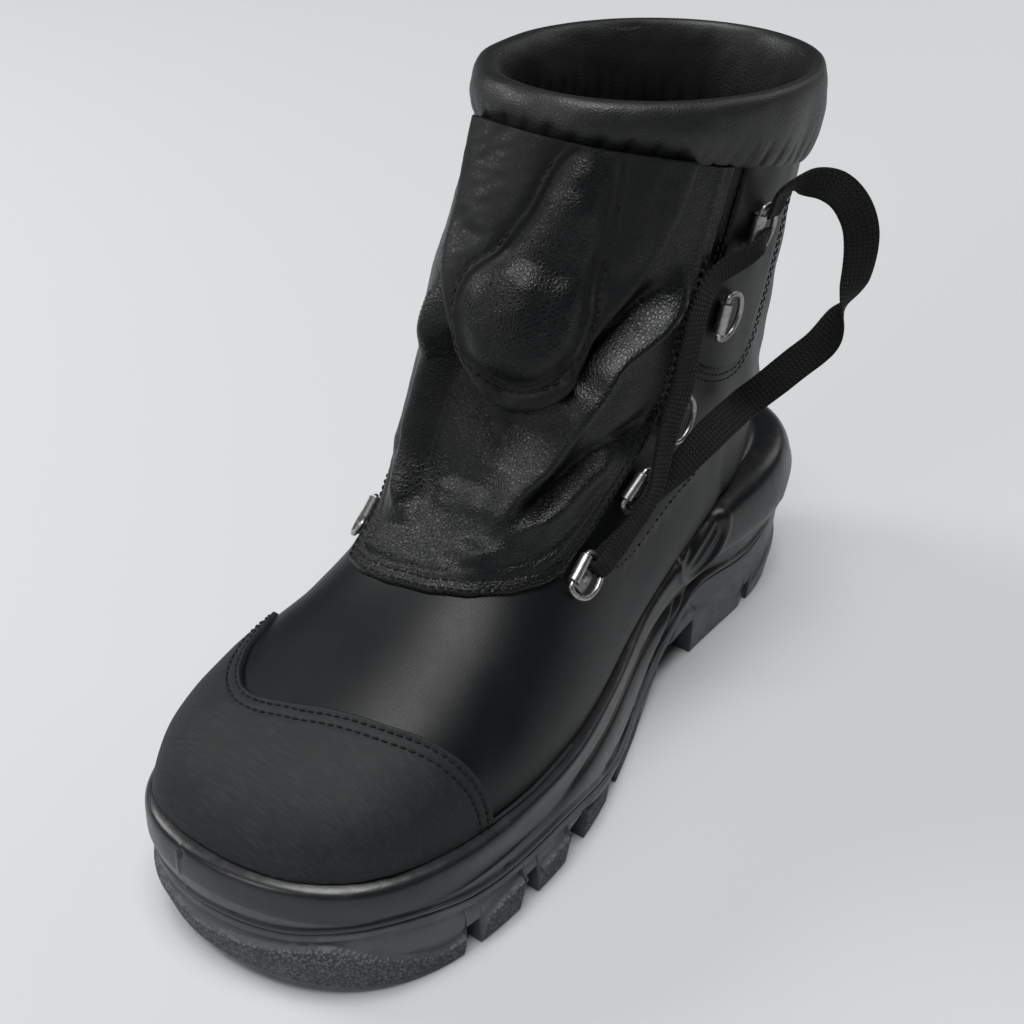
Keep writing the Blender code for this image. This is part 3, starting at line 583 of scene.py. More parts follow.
def reach_of_leather(columns, height):
    """How far out of the sole's outline the upper lies at a height: steps walk in from the outline until
    one is within GAP of the leather's nearest place, measured along that place's outward direction."""
    along, around = np.meshgrid(np.linspace(0.3, 15, 260), np.arange(240) / 240, indexing="ij")
    skin, skin_out = surface(along, around), outward(along, around)
    level = np.abs(skin[..., 2] - np.mean(height)) < 16
    skin, skin_out = skin[level], skin_out[level]
    steps = np.arange(4, 26, 0.4)
    reach = []
    for column in columns:
        walk = side_points[column] - side_out[column] * steps[:, None]
        walk = np.column_stack([walk, np.full(len(steps), height[column])])
        close = np.abs(skin[:, 1] - side_points[column, 1]) < 24
        near, near_out = skin[close], skin_out[close]
        nearest = np.argmin(((walk[:, None] - near) ** 2).sum(axis=-1), axis=1)
        depth = ((walk - near[nearest]) * near_out[nearest]).sum(axis=1)
        reach.append(-steps[np.argmax(depth < GAP)] if (depth < GAP).any() else -steps[-1])
    return np.array(reach)


# rows from the rubber over the bead to the inside: a spline through the foam's lines
lines = ["foam low", "foam groove", "foam side", "foam shoulder", "bead", "bead inside"]
outs = [sole_out["rubber top"]] + [sole_out[line] for line in lines]
heights = [rubber_edge] + [
    np.maximum(sole_height[line], rubber_edge + 1.2 * (k + 1)) for k, line in enumerate(lines)]
foam_place = np.concatenate([np.linspace(0, 0.25, 8), np.linspace(0.3, len(lines), FOAM_ROWS - 8)])
knots = np.arange(len(lines) + 1)
foam_out, foam_z = spline(knots, outs, foam_place), spline(knots, heights, foam_place)
foam_place = foam_place[:, None]
# the lip over the rubber, and the crease above it
foam_out = foam_out - 1.0 * (1 - ease(0, 0.9, foam_z - rubber_edge)) ** 2
foam_out = foam_out + 0.45 * hill(rubber_edge + 1.9, 1.5, foam_z)
foam_out = foam_out - 0.5 * hill(rubber_edge + 3.9, 0.9, foam_z) * (1 - ease(95, 112, side_y))
# the crescent groove at the waist, with its sharp upper edge
crescent_depth = CRESCENT_DEPTH * ease(-30, -8, side_y) * (1 - ease(40, 56, side_y))
above = foam_z - read(CRESCENT, side_y)
fall = np.where(above < 0, BELOW_CRESCENT, ABOVE_CRESCENT)
foam_out = foam_out - crescent_depth * np.exp(-(above / fall) ** 2)
# the oval hollows with ribs, on both sides of the heel
oval_y, oval_z, oval_long, oval_high, tilt = OVAL
along_oval = ((side_y - oval_y) * math.cos(tilt) + (foam_z - oval_z) * math.sin(tilt)) / oval_long
up_oval = ((foam_z - oval_z) * math.cos(tilt) - (side_y - oval_y) * math.sin(tilt)) / oval_high
from_middle = np.sqrt(along_oval ** 2 + up_oval ** 2)
inside_oval = 1 - ease(0.8, 0.98, from_middle)
ribs = np.clip(np.cos(up_oval * RIB_DENSITY) * 1.4, -1, 1) * (1 - ease(0.6, 0.78, from_middle))
foam_out = foam_out - inside_oval * OVAL_DEPTH + RIB_HEIGHT * ribs * inside_oval
foam_out = foam_out + OVAL_RIM * hill(1.05, 0.14, from_middle)
# the mould seam at the front of the toe, and the dent beside it on the bead
seam_x = side_points[:, 0] - SEAM_X
seam = np.exp(-(seam_x / 0.7) ** 2) * (side_y < TOE_Y)
foam_out = foam_out + SEAM_HEIGHT * seam * ease(0.1, 0.6, foam_place) * (1 - ease(4.6, 5.2, foam_place))
dent = np.exp(-((seam_x - 1.2) / 0.9) ** 2) * (side_y < TOE_Y)
foam_out = foam_out - SEAM_DENT * dent * hill(4.3, 0.5, foam_place)
# slow swells, as the foam shrinks unevenly in its mould
swell = 0.25 * np.sin(side_y / 11) * np.sin(foam_place * 1.9 + side_y / 23)
foam_out = foam_out + swell * ease(1, 3, foam_place) * (1 - ease(4.6, 5.4, foam_place))
# the lip's inner side, which hugs the leather all round: it falls inwards, and climbs round the heel
ring_count = 2 * SOLE_COLUMNS
some = np.arange(0, ring_count, 8)
climb = ease(52, 92, side_y)
reach = reach_of_leather(some, foam_z[-1] - 1.5 + 6 * climb)
reach = smoothed(np.interp(np.arange(ring_count), some, reach, period=ring_count), 20)
lip_in = np.minimum(foam_out[-1], reach - 0.9)
ledge = foam_out[-1] - lip_in
for share in LIP_SHARES:
    drop = 0.34 * ledge * math.sin(share * math.pi / 2) - 0.10 * ledge * share ** 4
    drop = drop * (1 - climb) + ledge * (0.10 * math.sin(share * math.pi) - 0.38 * share ** 2) * climb
    foam_out = np.concatenate([foam_out, (foam_out[FOAM_ROWS - 1] - ledge * share)[None]])
    foam_z = np.concatenate([foam_z, (foam_z[FOAM_ROWS - 1] - drop)[None]])
foam_grid = np.concatenate([side_points + side_out * foam_out[..., None], foam_z[..., None]], axis=-1)
inner_foot = side_points + side_out * (lip_in - 0.5)[:, None]
inner_foot = np.concatenate([inner_foot, rubber_edge[:, None]], axis=1)
foam_grid = np.concatenate([foam_grid, inner_foot[None], foam_grid[:1]])

foam = Finish("black moulded foam", specular=0.5)
soft_dirt = foam.fade(foam.noise(11, 5, 0.6), 0.5, 0.8)
specks = foam.fade(foam.noise(0.8, 2), 0.72, 0.8)
dirt = soft_dirt * 0.35 + specks * 0.25
foam.set("base", foam.blend(dirt, (0.0085, 0.0092, 0.0105), (0.030, 0.031, 0.033)))
foam.set("roughness", foam.noise(7, 4, 0.6) * 0.16 + soft_dirt * 0.1 + 0.25)
foam.set("normal", foam.relief(foam.noise(0.7, 3), 0.035, foam.relief(foam.noise(9, 2), 0.25)))
foam_faces = grid_faces(len(foam_grid), ring_count, wrap=True)
midsole = add_piece("foam_midsole", foam_grid, foam_faces, foam, sharp=60)
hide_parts("midsole")


# Upper: vamp and quarters of smooth black leather over a hidden protective cap, lasted and open at the
# collar, with a grey fleece inside. The shaft creases at the ankle, and folds inwards under the pad.
WALL = 2.2                                           # leather and fleece together
UPPER_ROWS, UPPER_COLUMNS, LINING_ROWS = 236, 216, 60
SEAM_STEP, SEAM_STEP_ENDS = 0.8, (10, 34)            # the quarter over the vamp, and where it evens out
THREAD_BED = (0.25, 1.8, 0.8)                        # depth, distance from the seam, half width
# Lines on the upper are rows of (along, around).
QUARTER_SEAM = [
    (9.3, 0.303), (9.51, 0.294), (9.93, 0.273), (10.51, 0.259), (11.1, 0.250), (11.73, 0.239),
    (12.43, 0.214), (12.9, 0.177), (13.18, 0.13), (13.34, 0.08), (13.4, 0.04), (13.42, 0.0),
]
BESIDE_LOW_FOLD = [
    (12.84, 0.304), (11.98, 0.321), (11.37, 0.343), (10.77, 0.364), (10.15, 0.381), (9.66, 0.397),
    (9.17, 0.414), (8.6, 0.434),
]
BESIDE_LONG_FOLD = [(14.19, 0.344), (13.74, 0.358), (13.06, 0.386), (12.5, 0.408)]
ANKLE_CREASES = [
    # depth, half width, line
    (1.1, 7, [(11.2, 0.10), (11.6, 0.15), (12.2, 0.19), (12.9, 0.215)]),
    (0.8, 6, [(13.6, 0.05), (13.9, 0.10), (14.1, 0.14), (14.3, 0.18)]),
    (0.7, 9, [(6.0, 0.30), (6.6, 0.33), (7.0, 0.38)]),
]
HOLLOWS = [
    # depth, half width, line: where the shaft folds inwards, under the pad and beside the long folds
    (5.0, 9.5, [
        (12.6, 0.545), (11.9, 0.528), (11.2, 0.515), (10.7, 0.495), (10.55, 0.465), (10.7, 0.435),
        (11.1, 0.41), (11.6, 0.39)]),
    (3.4, 6.0, [(15.2, 0.32), *BESIDE_LONG_FOLD, (11.7, 0.425)]),
    (2.4, 5.0, BESIDE_LOW_FOLD),
]


def dense(line, count=90):
    """A line of (along, around) rows as a smooth run of places."""
    return spline(range(len(line)), line, np.linspace(0, len(line) - 1, count))


def beside_line(points, line):
    """Distance from points to a line on the upper, which side they lie on, and how far along the line.
    The side is +1 to the left of the line as it runs, seen from outside."""
    rows = dense(line) if len(line) < 40 else np.asarray(line)
    path = surface(rows[:, 0], rows[:, 1])
    ahead = np.gradient(path, axis=0)
    left = np.cross(outward(rows[:, 0], rows[:, 1]), ahead)
    flat = points.reshape(-1, 3)
    nearest = np.concatenate([
        np.argmin(((chunk[:, None] - path) ** 2).sum(axis=-1), axis=1)
        for chunk in np.array_split(flat, 24)])
    gap = flat - path[nearest]
    distance = np.linalg.norm(gap, axis=1)
    side = np.sign((gap * left[nearest]).sum(axis=1))
    shape = points.shape[:-1]
    return distance.reshape(shape), side.reshape(shape), (nearest / (len(path) - 1)).reshape(shape)


def waves(points, seed, size, count=9):
    """A soft random relief from -1 to 1: a sum of sines whose lengths are about `size` millimetres."""
    random = np.random.default_rng(seed)
    directions = unit(random.normal(size=(count, 3))) * random.uniform(0.6, 1.5, (count, 1)) / size
    shifts = random.uniform(0, 2 * math.pi, count)
    return np.sin(2 * math.pi * points @ directions.T + shifts).mean(axis=-1) * 2


def mirrored(line):
    """The same line on the inner side."""
    return [(along, 1 - around) for along, around in line]


def leather(name, colour, roughness, grain, grain_depth, pores, scuffs, specular=0.5, grained=None):
    """Black leather: pebbles of `grain` millimetres parted by fine creases, with painted shade darkening the
    creases, pores, and paler scuffs. A mark named by `grained` says where the pebbles are, between smooth,
    duller leather."""
    made = Finish(name, specular=specular)
    cloud = made.node("TexNoise", None, {
        "Vector": made.here, "Scale": 1 / (grain * 4 * MM), "Detail": 2}, output="Color")
    drift = made.node("VectorMath", {"operation": "SCALE"}, {0: cloud, "Scale": grain * 1.3 * MM})
    where = made.node("VectorMath", {"operation": "ADD"}, {0: made.here, 1: drift})
    creases = made.fade(made.cells(grain, "DISTANCE_TO_EDGE", where), 0.0, 0.32)
    small = made.fade(made.cells(grain * 0.45, "DISTANCE_TO_EDGE", where), 0.0, 0.3)
    strength = made.fade(made.noise(22, 2), 0.25, 0.7) * 0.5 + 0.5
    height = creases * 0.75 + small * 0.25
    scuffed = made.fade(made.noise(16, 6, 0.7), 0.5, 0.85)
    pale = tuple(channel * 2.3 + 0.006 for channel in colour)
    # painted shade: the creases between the pebbles are darker in the colour; the pale scuffs are wear
    crease_shade = tuple(channel * 0.6 for channel in colour)
    made.set("base", made.blend(scuffed * scuffs, made.blend(height, crease_shade, colour), pale))
    rough = roughness + (1 - height) * 0.24 * min(1, grain_depth * 10) + scuffed * scuffs * 0.2
    rough = rough + made.noise(6, 3) * 0.06 - 0.03
    if grained:
        strength = strength * (made.mark(grained) * 0.85 + 0.15)
        rough = rough + (1 - made.mark(grained)) * 0.16
    made.set("roughness", rough)
    normal = made.relief(height * strength, grain_depth)
    made.set("normal", made.relief(made.noise(pores, 2), 0.006, normal))
    return made


def hollow_depth(points):
    """How far the leather and its lining sink along each line: depth * exp(-(distance / half width) ** 2),
    fading towards the line's ends."""
    depth = np.zeros(points.shape[:-1])
    for deepest, half_width, line in HOLLOWS:
        distance, _, run = beside_line(points, line)
        ends = ease(0, 0.25, run) * ease(0, 0.25, 1 - run)
        depth += deepest * ends * np.exp(-(distance / half_width) ** 2)
    return depth


def upper_relief(along, around):
    """How far the leather lies from its smooth form: slow waves, a step along each seam, soft creases."""
    skin = surface(along, around)
    relief = 0.35 * waves(skin, 3, 55) * ease(3, 6, along) - hollow_depth(skin)
    relief = relief + 0.5 * waves(skin * [1, 1, 1.6], 5, 26) * ease(10, 13, along)
    bed_depth, bed_distance, bed_width = THREAD_BED
    for seam_line, turn in ((QUARTER_SEAM, 1), (mirrored(QUARTER_SEAM), -1)):
        distance, side, run = beside_line(skin, seam_line)
        above = (side * turn > 0) * ease(0.0, 0.06, run)
        step = ease(0, 0.8, distance) * (1 - ease(*SEAM_STEP_ENDS, distance))
        relief = relief + SEAM_STEP * above * step
        relief = relief - bed_depth * above * hill(bed_distance, bed_width, distance)
    for depth, half_width, line in ANKLE_CREASES:
        for one_side in (line, mirrored(line)):
            distance, _, run = beside_line(skin, one_side)
            relief = relief - depth * np.sin(math.pi * run) * np.exp(-(distance / half_width) ** 2 * 2)
    return relief


share_up = np.linspace(0, 1, UPPER_ROWS)
up_rows = LAST_ROW * (0.86 * share_up + 0.14 * share_up ** 2)
columns = np.arange(UPPER_COLUMNS) / UPPER_COLUMNS
along, around = np.meshgrid(up_rows, columns, indexing="ij")
outside = lifted(along, around, upper_relief(along, around))
along, around = np.meshgrid(np.linspace(LAST_ROW, 0, LINING_ROWS), columns, indexing="ij")
skin = surface(along, around)
fleece_bumps = 0.35 * waves(skin, 11, 14)
inside = lifted(along, around, np.where(along > 0.3, -WALL + fleece_bumps - hollow_depth(skin), -WALL))
inside[-1] = inside[-1].mean(axis=0)
shell = np.concatenate([outside, inside])
shell_faces = grid_faces(len(shell), UPPER_COLUMNS, wrap=True)
is_lining = np.repeat(np.arange(len(shell) - 1) >= UPPER_ROWS, UPPER_COLUMNS)

smooth_leather = leather(
    "smooth black leather", (0.0052, 0.0062, 0.0072), 0.42, grain=0.9, grain_depth=0.016, pores=0.35,
    scuffs=0.25, specular=0.24)
fleece = Finish("grey fleece", roughness=0.95, specular=0.2, sheen=0.4)
tufts = fleece.noise(2.2, 5, 0.7)
fleece.set("base", fleece.blend(fleece.fade(tufts, 0.35, 0.7), (0.030, 0.030, 0.032), (0.105, 0.104, 0.10)))
fleece.set("normal", fleece.relief(tufts, 0.8))
upper = add_piece("leather_upper", shell, shell_faces, smooth_leather, sharp=50, lining=(fleece, is_lining))
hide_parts("upper")


# Insole: a loose sole of pressed felt that lies in the bottom of the upper, its edges against the lining,
# and dips a little along its middle.
INSOLE_ENDS, INSOLE_ROWS, INSOLE_ACROSS = (1.6, 12.6), 90, 26
INSOLE_UNDER, INSOLE_TOP, INSOLE_CLEARANCE, INSOLE_DIP = 1.2, 4.6, 0.5, 0.9
half_round = np.linspace(0, 0.25, 160)
step = np.linspace(0, 1, INSOLE_ACROSS)[:, None]
insole_rows = []
for section in np.linspace(*INSOLE_ENDS, INSOLE_ROWS):
    edges = []
    for direction in (1, -1):
        wall = lifted(section, direction * half_round, np.full(len(half_round), -WALL - INSOLE_CLEARANCE))
        height = wall[:, 2] - wall[0, 2]
        for level in (INSOLE_UNDER, INSOLE_TOP):
            edges.append(np.array([np.interp(level, height, axis) for axis in wall.T]))
    low_outer, high_outer, low_inner, high_inner = edges
    top_row = high_outer * (1 - step) + high_inner * step
    top_row[:, 2] -= INSOLE_DIP * np.sin(math.pi * step[:, 0]) ** 0.7
    under_row = low_inner * (1 - step) + low_outer * step
    insole_rows.append(np.concatenate([top_row, under_row]))
# both ends close to a point
first_row, last_row = (np.tile(insole_rows[end].mean(axis=0), (2 * INSOLE_ACROSS, 1)) for end in (0, -1))
insole_grid = np.array([first_row, *insole_rows, last_row])
felt = Finish("pressed felt", roughness=0.95, specular=0.15, sheen=0.3)
fibres = felt.noise(0.7, 4, 0.7)
felt.set("base", felt.blend(fibres, (0.028, 0.028, 0.030), (0.090, 0.089, 0.086)))
felt.set("normal", felt.relief(fibres, 0.3))
insole_faces = grid_faces(*insole_grid.shape[:2], wrap=True)
insole = add_piece("felt_insole", insole_grid, insole_faces, felt, sharp=60)
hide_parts("insole")


# Toe cap: a thin outer cap of brushed, matt leather, stitched on with two rows of thread. It ends at the
# foam's bead and at a waved rear edge with a rounded rim.
CAP_EDGE = [
    # the rear edge, as (x, y)
    (-60, -64), (-50, -68), (-43, -74), (-39.5, -82), (-37.5, -92), (-32, -101), (-26, -106.5), (-19, -108),
    (-9, -105.5), (10, -98.5), (22, -94.5), (33, -89.5), (45, -84.5), (60, -79),
]
CAP_THICKNESS, CAP_LIFT = 1.25, 0.4
UNDERSIDE = 0.1                       # how far any sheet's underside lies from the upper
CAP_ROWS, CAP_COLUMNS = 92, 190
CAP_STITCHES = (2.3, 5.6)             # how far the rows of thread lie from the rear edge
CAP_EASING = 6                        # neighbours on each side that round its edges and seams
CAP_LEAST = 0.02                      # the shortest part of it that is made, as a step of `along`
THREAD_RADIUS, PITCH = 0.26, 2.8
STITCH_SIDES, STITCH_RINGS = 8, 6


def sheet(along, around, out, under, rings=5):
    """A closed sheet: a grid at the distances `out` from the upper, a rim, and an underside, which is plain
    where `under` is one distance and follows the grid where it has a distance for each place."""
    rows, columns = along.shape
    top = lifted(along, around, out).reshape(-1, 3)
    number = np.arange(rows * columns).reshape(rows, columns)
    edge = np.concatenate([number[0, :-1], number[:-1, -1], number[-1, :0:-1], number[:0:-1, 0]])
    if np.ndim(under):
        below = [lifted(along, around, under).reshape(-1, 3)]
        below_faces, below_edge = grid_faces(rows, columns, first=len(top)), len(top) + edge
    else:
        rim = np.column_stack([along.ravel()[edge], around.ravel()[edge]])
        middle = np.array([along[rows // 2, columns // 2], around[rows // 2, columns // 2]])
        places = [middle + (rim - middle) * share for share in np.linspace(1, 0, rings)]
        below = [lifted(*place.T, np.full(len(place), under)) for place in places]
        below_faces = grid_faces(rings, len(edge), wrap=True, first=len(top))
        below_edge = len(top) + np.arange(len(edge))
    rim_faces = np.stack([edge, np.roll(edge, -1), np.roll(below_edge, -1), below_edge], axis=-1)
    faces = np.concatenate([grid_faces(rows, columns), below_faces, rim_faces])
    return np.concatenate([top, *below]), faces


def rounded(distance, radius):
    """The share of its height that a sheet has at a distance from its rounded edge: a quarter circle."""
    return np.sqrt(np.clip(1 - (1 - np.clip(distance / radius, 0, 1)) ** 2, 0, 1))


def shifted(line, distance, count=240):
    """A line moved sideways on the upper by millimetres, to its left as it runs."""
    rows = dense(line, count)
    ahead, beside = slopes(*rows.T)
    left = unit(np.cross(outward(*rows.T), np.gradient(surface(*rows.T), axis=0)))
    moves = np.einsum("nij,nj->ni", np.linalg.pinv(np.stack([ahead, beside], axis=-1)), left * distance)
    return rows + moves


def run_along(path):
    """How far along a path each of its points lies."""
    return np.concatenate([[0], np.cumsum(np.linalg.norm(np.diff(path, axis=0), axis=1))])


def stitch_count(line):
    """How many stitches fit a line on the upper."""
    return max(2, round(run_along(surface(*np.asarray(line).T))[-1] / PITCH))


def seam_groove(points, line):
    """How far thread draws the leather in, in millimetres: a soft groove, deeper at each hole."""
    distance, _, run = beside_line(points, line)
    hole = np.cos(math.pi * run * stitch_count(line)) ** 4
    within = (run > 0.004) & (run < 0.996)
    return within * (0.16 * hill(0, 1.5, distance) + 0.30 * hole * hill(0, 0.8, distance))


def face_at(thickness):
    """A function that tells how far out the face of a sheet of one thickness lies, for its thread."""
    return lambda along, around: np.full(np.shape(along), GAP + thickness)


def stitches(name, seams, finish, size=THREAD_RADIUS):
    """One piece with all the stitches of some seams: each a little arched capsule, from hole to hole.
    A seam is its rows of places and a function that tells how far out its leather lies."""
    turn, length = np.meshgrid(
        np.arange(STITCH_SIDES) * 2 * math.pi / STITCH_SIDES,
        np.linspace(-1, 1, STITCH_RINGS) * math.pi / 2)
    share = np.sin(length)[..., None]
    girth = (np.cos(length)[..., None] + 0.08) * size
    count = STITCH_SIDES * STITCH_RINGS
    capsules = []
    for line, height in seams:
        run = run_along(surface(*line.T))
        step = run[-1] / stitch_count(line)
        stops = np.arange(0.5, stitch_count(line)) * step
        rows, before, after = (
            np.column_stack([np.interp(stops + shift, run, column) for column in line.T])
            for shift in (0, -0.4 * step, 0.4 * step))
        centre, start, end = (lifted(*at.T, height(*at.T))[:, None, None] for at in (rows, before, after))
        face = outward(*rows.T)[:, None, None]
        ahead = (end - start) / 2
        across = unit(np.cross(ahead, face))
        arch = ((start + end) / 2 - centre) * share ** 2 + face * (0.20 - 0.34 * share ** 2)
        wrap = across * (1.25 * np.cos(turn)[..., None]) + face * np.sin(turn)[..., None]
        capsules.append((centre + ahead * share + arch + wrap * girth).reshape(-1, count, 3))
    capsules = np.concatenate(capsules)
    faces = []
    for first in range(0, count * len(capsules), count):
        faces += grid_faces(STITCH_RINGS, STITCH_SIDES, wrap=True, first=first).tolist()
        faces += [[first + k for k in range(STITCH_SIDES)],
                  [first + count - 1 - k for k in range(STITCH_SIDES)]]
    return add_piece(name, capsules, faces, finish, sharp=0)


thread = Finish("waxed black thread", roughness=0.6, specular=0.2)
twist = thread.noise(0.5, 3)
thread.set("base", thread.blend(twist, (0.0035, 0.0035, 0.0040), (0.0110, 0.0110, 0.0120)))
thread.set("normal", thread.relief(twist, 0.08))

# round the toe, the cap starts where the upper comes out of the foam, and ends at its rear edge
cap_around = np.linspace(0.16, 0.86, 700)
search = np.linspace(0.4, 8, 500)
places = surface(*np.meshgrid(search, cap_around, indexing="ij"))
bead_line = at_stations(SOLE_LINES["bead inside"][1], places[..., 1].ravel()).reshape(places.shape[:2])
above = places[..., 2] > bead_line + CAP_LIFT
before_edge = places[..., 1] < read(CAP_EDGE, places[..., 0])
cap_start = search[np.argmax(above, axis=0)]
cap_end = search[np.argmin(before_edge, axis=0)]
covered = cap_end > cap_start + CAP_LEAST
cap_low, cap_high = cap_around[covered][0], cap_around[covered][-1]
share = np.linspace(0, 1, CAP_COLUMNS)
cap_columns = cap_low + (cap_high - cap_low) * (0.6 * share + 0.4 * ease(0, 1, share))
inner_part = slice(CAP_EASING, -CAP_EASING)
easing = np.ones(2 * CAP_EASING + 1) / (2 * CAP_EASING + 1)
starts, ends = (
    np.interp(cap_columns, cap_around[inner_part], np.convolve(limit, easing, "valid"))
    for limit in (cap_start, cap_end))
ends = np.maximum(ends, starts + CAP_LEAST)
share = np.linspace(0, 1, CAP_ROWS)[:, None]
share = 0.45 * share + 0.55 * ease(0, 1, share)
along = starts + (ends - starts) * share
around = np.broadcast_to(cap_columns, along.shape)
cap_places = surface(along, around)
rear_line = np.column_stack([ends, cap_columns])[ends > starts + 0.12]
front_line = np.column_stack([starts, cap_columns])
to_rear, _, _ = beside_line(cap_places, rear_line)
to_front, _, _ = beside_line(cap_places, front_line)
cap_seams = [shifted(rear_line, distance)[inner_part] for distance in CAP_STITCHES]
cap_seams = [
    np.column_stack([np.convolve(column, easing, "valid") for column in seam.T]) for seam in cap_seams]
cap_out = CAP_THICKNESS * rounded(to_rear, 0.9) * rounded(to_front, 1.1)
cap_out = cap_out + 0.25 * hill(0.9, 1.2, to_rear) + 0.12 * waves(cap_places, 21, 18)
for seam in cap_seams:
    cap_out = cap_out - seam_groove(cap_places, seam)
cap_points, cap_faces = sheet(
    along, around, GAP + np.maximum(cap_out, 0), np.full(along.shape, UNDERSIDE))

brushed_leather = Finish("brushed black leather", specular=0.35)
streak_place = brushed_leather.node("Mapping", None, {
    "Vector": brushed_leather.here, "Scale": (0.10, 1.0, 0.35)})
streaks = brushed_leather.noise(0.7, 5, 0.65, streak_place)
patches = brushed_leather.noise(14, 4, 0.6)
nap = brushed_leather.noise(0.35, 2)
rubbed = brushed_leather.fade(streaks * 0.7 + patches * 0.3, 0.42, 0.72)
brushed = brushed_leather.blend(rubbed, (0.0065, 0.0074, 0.0084), (0.0165, 0.0185, 0.0202))
brushed_leather.set("base", brushed)
brushed_leather.set("roughness", 0.56 + patches * 0.2)
brushed_leather.set("normal", brushed_leather.relief(nap, 0.05, brushed_leather.relief(streaks, 0.14)))
toe_cap = add_piece("brushed_toe_cap", cap_points, cap_faces, brushed_leather, sharp=60)
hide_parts("toe_cap")
stitches("toe_cap_stitches", [(seam, face_at(CAP_THICKNESS)) for seam in cap_seams], thread)


# Front panel: soft pebbled leather over the tongue and instep, sewn on round its thick dark hem with two
# rows of thread. The folds come from listed crests and hollows, pressed in as the shade bends.
PANEL_TOP = 16.35
PANEL_HEM = [
    # share of the way from the inner edge to the outer one, along
    (0, 8.15), (0.02, 7.5), (0.05, 7.24), (0.2, 7.04), (0.36, 7.01), (0.53, 7.13), (0.69, 7.39),
    (0.84, 7.82), (0.945, 8.35), (0.99, 8.73), (1, 8.95),
]
PANEL_INNER_EDGE = [
    # along, around
    (7, 0.60), (8.3, 0.612), (9.2, 0.645), (10, 0.668), (10.7, 0.680), (11.6, 0.690), (12.9, 0.704),
    (13.8, 0.708), (16.3, 0.704),
]
PANEL_OUTER_EDGE = [
    (7, 0.37), (9.0, 0.352), (9.8, 0.331), (10.7, 0.320), (11.6, 0.310), (12.9, 0.296), (13.8, 0.292),
    (14.5, 0.294), (16.3, 0.296),
]
PANEL_THICKNESS = 2.0
PANEL_ROWS, PANEL_COLUMNS = 204, 150
PANEL_STITCHES = (1.7, 4.6)
LONG_FOLD = [
    (14.57, 0.317), (13.83, 0.339), (13.32, 0.357), (12.64, 0.372), (11.39, 0.392), (10.33, 0.405),
    (9.32, 0.425), (8.65, 0.438),
]
LOW_FOLD = [
    (11.9, 0.318), (11.03, 0.349), (10.03, 0.375), (9.09, 0.402), (8.34, 0.426), (7.86, 0.45), (7.5, 0.475),
]
INNER_FOLD = [
    (13.9, 0.557), (12.62, 0.545), (11.28, 0.551), (10.25, 0.561), (9.22, 0.566), (8.32, 0.555),
    (7.8, 0.543),
]
BESIDE_INNER_FOLD = [
    (12.91, 0.519), (12.24, 0.523), (11.04, 0.530), (9.75, 0.535), (8.94, 0.537), (8.35, 0.538),
    (7.96, 0.54),
]
CREASES = [
    # height, half width towards the inner side, half width towards the outer side, line from the top down
    (7.4, 7.0, 4.6, [(15.3, 0.300), *LONG_FOLD, (8.0, 0.455)]),
    (2.2, 3.2, 2.8, [(15.0, 0.305), *LONG_FOLD, (7.8, 0.46)]),
    (1.8, 3.0, 2.6, INNER_FOLD),
    (1.2, 3, 3, LOW_FOLD),
    (-3.2, 3.5, 6, BESIDE_LOW_FOLD),
    (6.0, 5.5, 6.5, LOW_FOLD),
    (-1.8, 3, 3.5, [(9.2, 0.385), (8.71, 0.407), (8.2, 0.434), (7.8, 0.459), (7.55, 0.482)]),
    (4.6, 8, 5, INNER_FOLD),
    (-2.6, 3.5, 7, BESIDE_INNER_FOLD),
    (-2.2, 17, 17, [(11.6, 0.465), (10.4, 0.472), (9.4, 0.48), (8.6, 0.487)]),
    (-1.6, 6, 7, [(13.0, 0.59), (11.2, 0.602), (10.0, 0.60), (9.0, 0.59)]),
    (2.2, 7, 9, [(13.8, 0.645), (11.6, 0.640), (10.2, 0.630), (9.0, 0.612)]),
    (-1.6, 3.5, 3.5, [(12.4, 0.415), (12.47, 0.395), (12.48, 0.372)]),
    (-3.5, 4, 5, [(14.9, 0.328), *BESIDE_LONG_FOLD]),
]
FINE_WRINKLES = [
    # height, seed, size, stretch across and along the panel
    (0.32, 31, 4.2, (0.25, 0.6, 1.0)),
    (0.20, 32, 2.8, (0.6, 0.6, 0.4)),
]
WRINKLED_MIDDLE, WRINKLED_HALF = (10.4, 0.49), (1.6, 0.05)    # where the wrinkles are deep
HEM_ROLL = (0.55, 6.4, 2.2)           # height, distance from the edge, half width


def crease_relief(points):
    """How far the folds lift or sink the leather: along each line a crest of its own half widths,
    height * exp(-(distance / half width) ** 2), fading towards the line's ends."""
    relief = np.zeros(points.shape[:-1])
    for height, to_inner, to_outer, line in CREASES:
        distance, side, run = beside_line(points, line)
        width = np.where(side > 0, to_outer, to_inner)
        relief += height * ease(0, 0.2, run) * ease(0, 0.2, 1 - run) * np.exp(-(distance / width) ** 2)
    return relief


def panel_places(rows, columns, hem, sides, top):
    """Places over a panel: rows from its hem up to its top, columns from one side to the other. A side is a
    table or one value. Each table is read as the mean of near places, which rounds its corners."""
    share, rise = np.meshgrid(np.linspace(0, 1, columns), np.linspace(0, 1, rows))
    start = np.mean(
        [read(hem, np.clip(share + shift, 0, 1)) for shift in np.linspace(-0.02, 0.02, 5)], axis=0)
    along = start * (1 - rise) + top * rise
    edges = [
        np.mean([read(side, along + shift) for shift in np.linspace(-0.35, 0.35, 9)], axis=0)
        if isinstance(side, list) else np.full(along.shape, side) for side in sides]
    return along, edges[0] * (1 - share) + edges[1] * share


def border(along, around):
    """The line round a grid: down its first side, along its hem, and up its other side."""
    places = np.stack([along, around], axis=-1)
    return np.concatenate([places[::-1, 0], places[0, 1:-1], places[:, -1]])


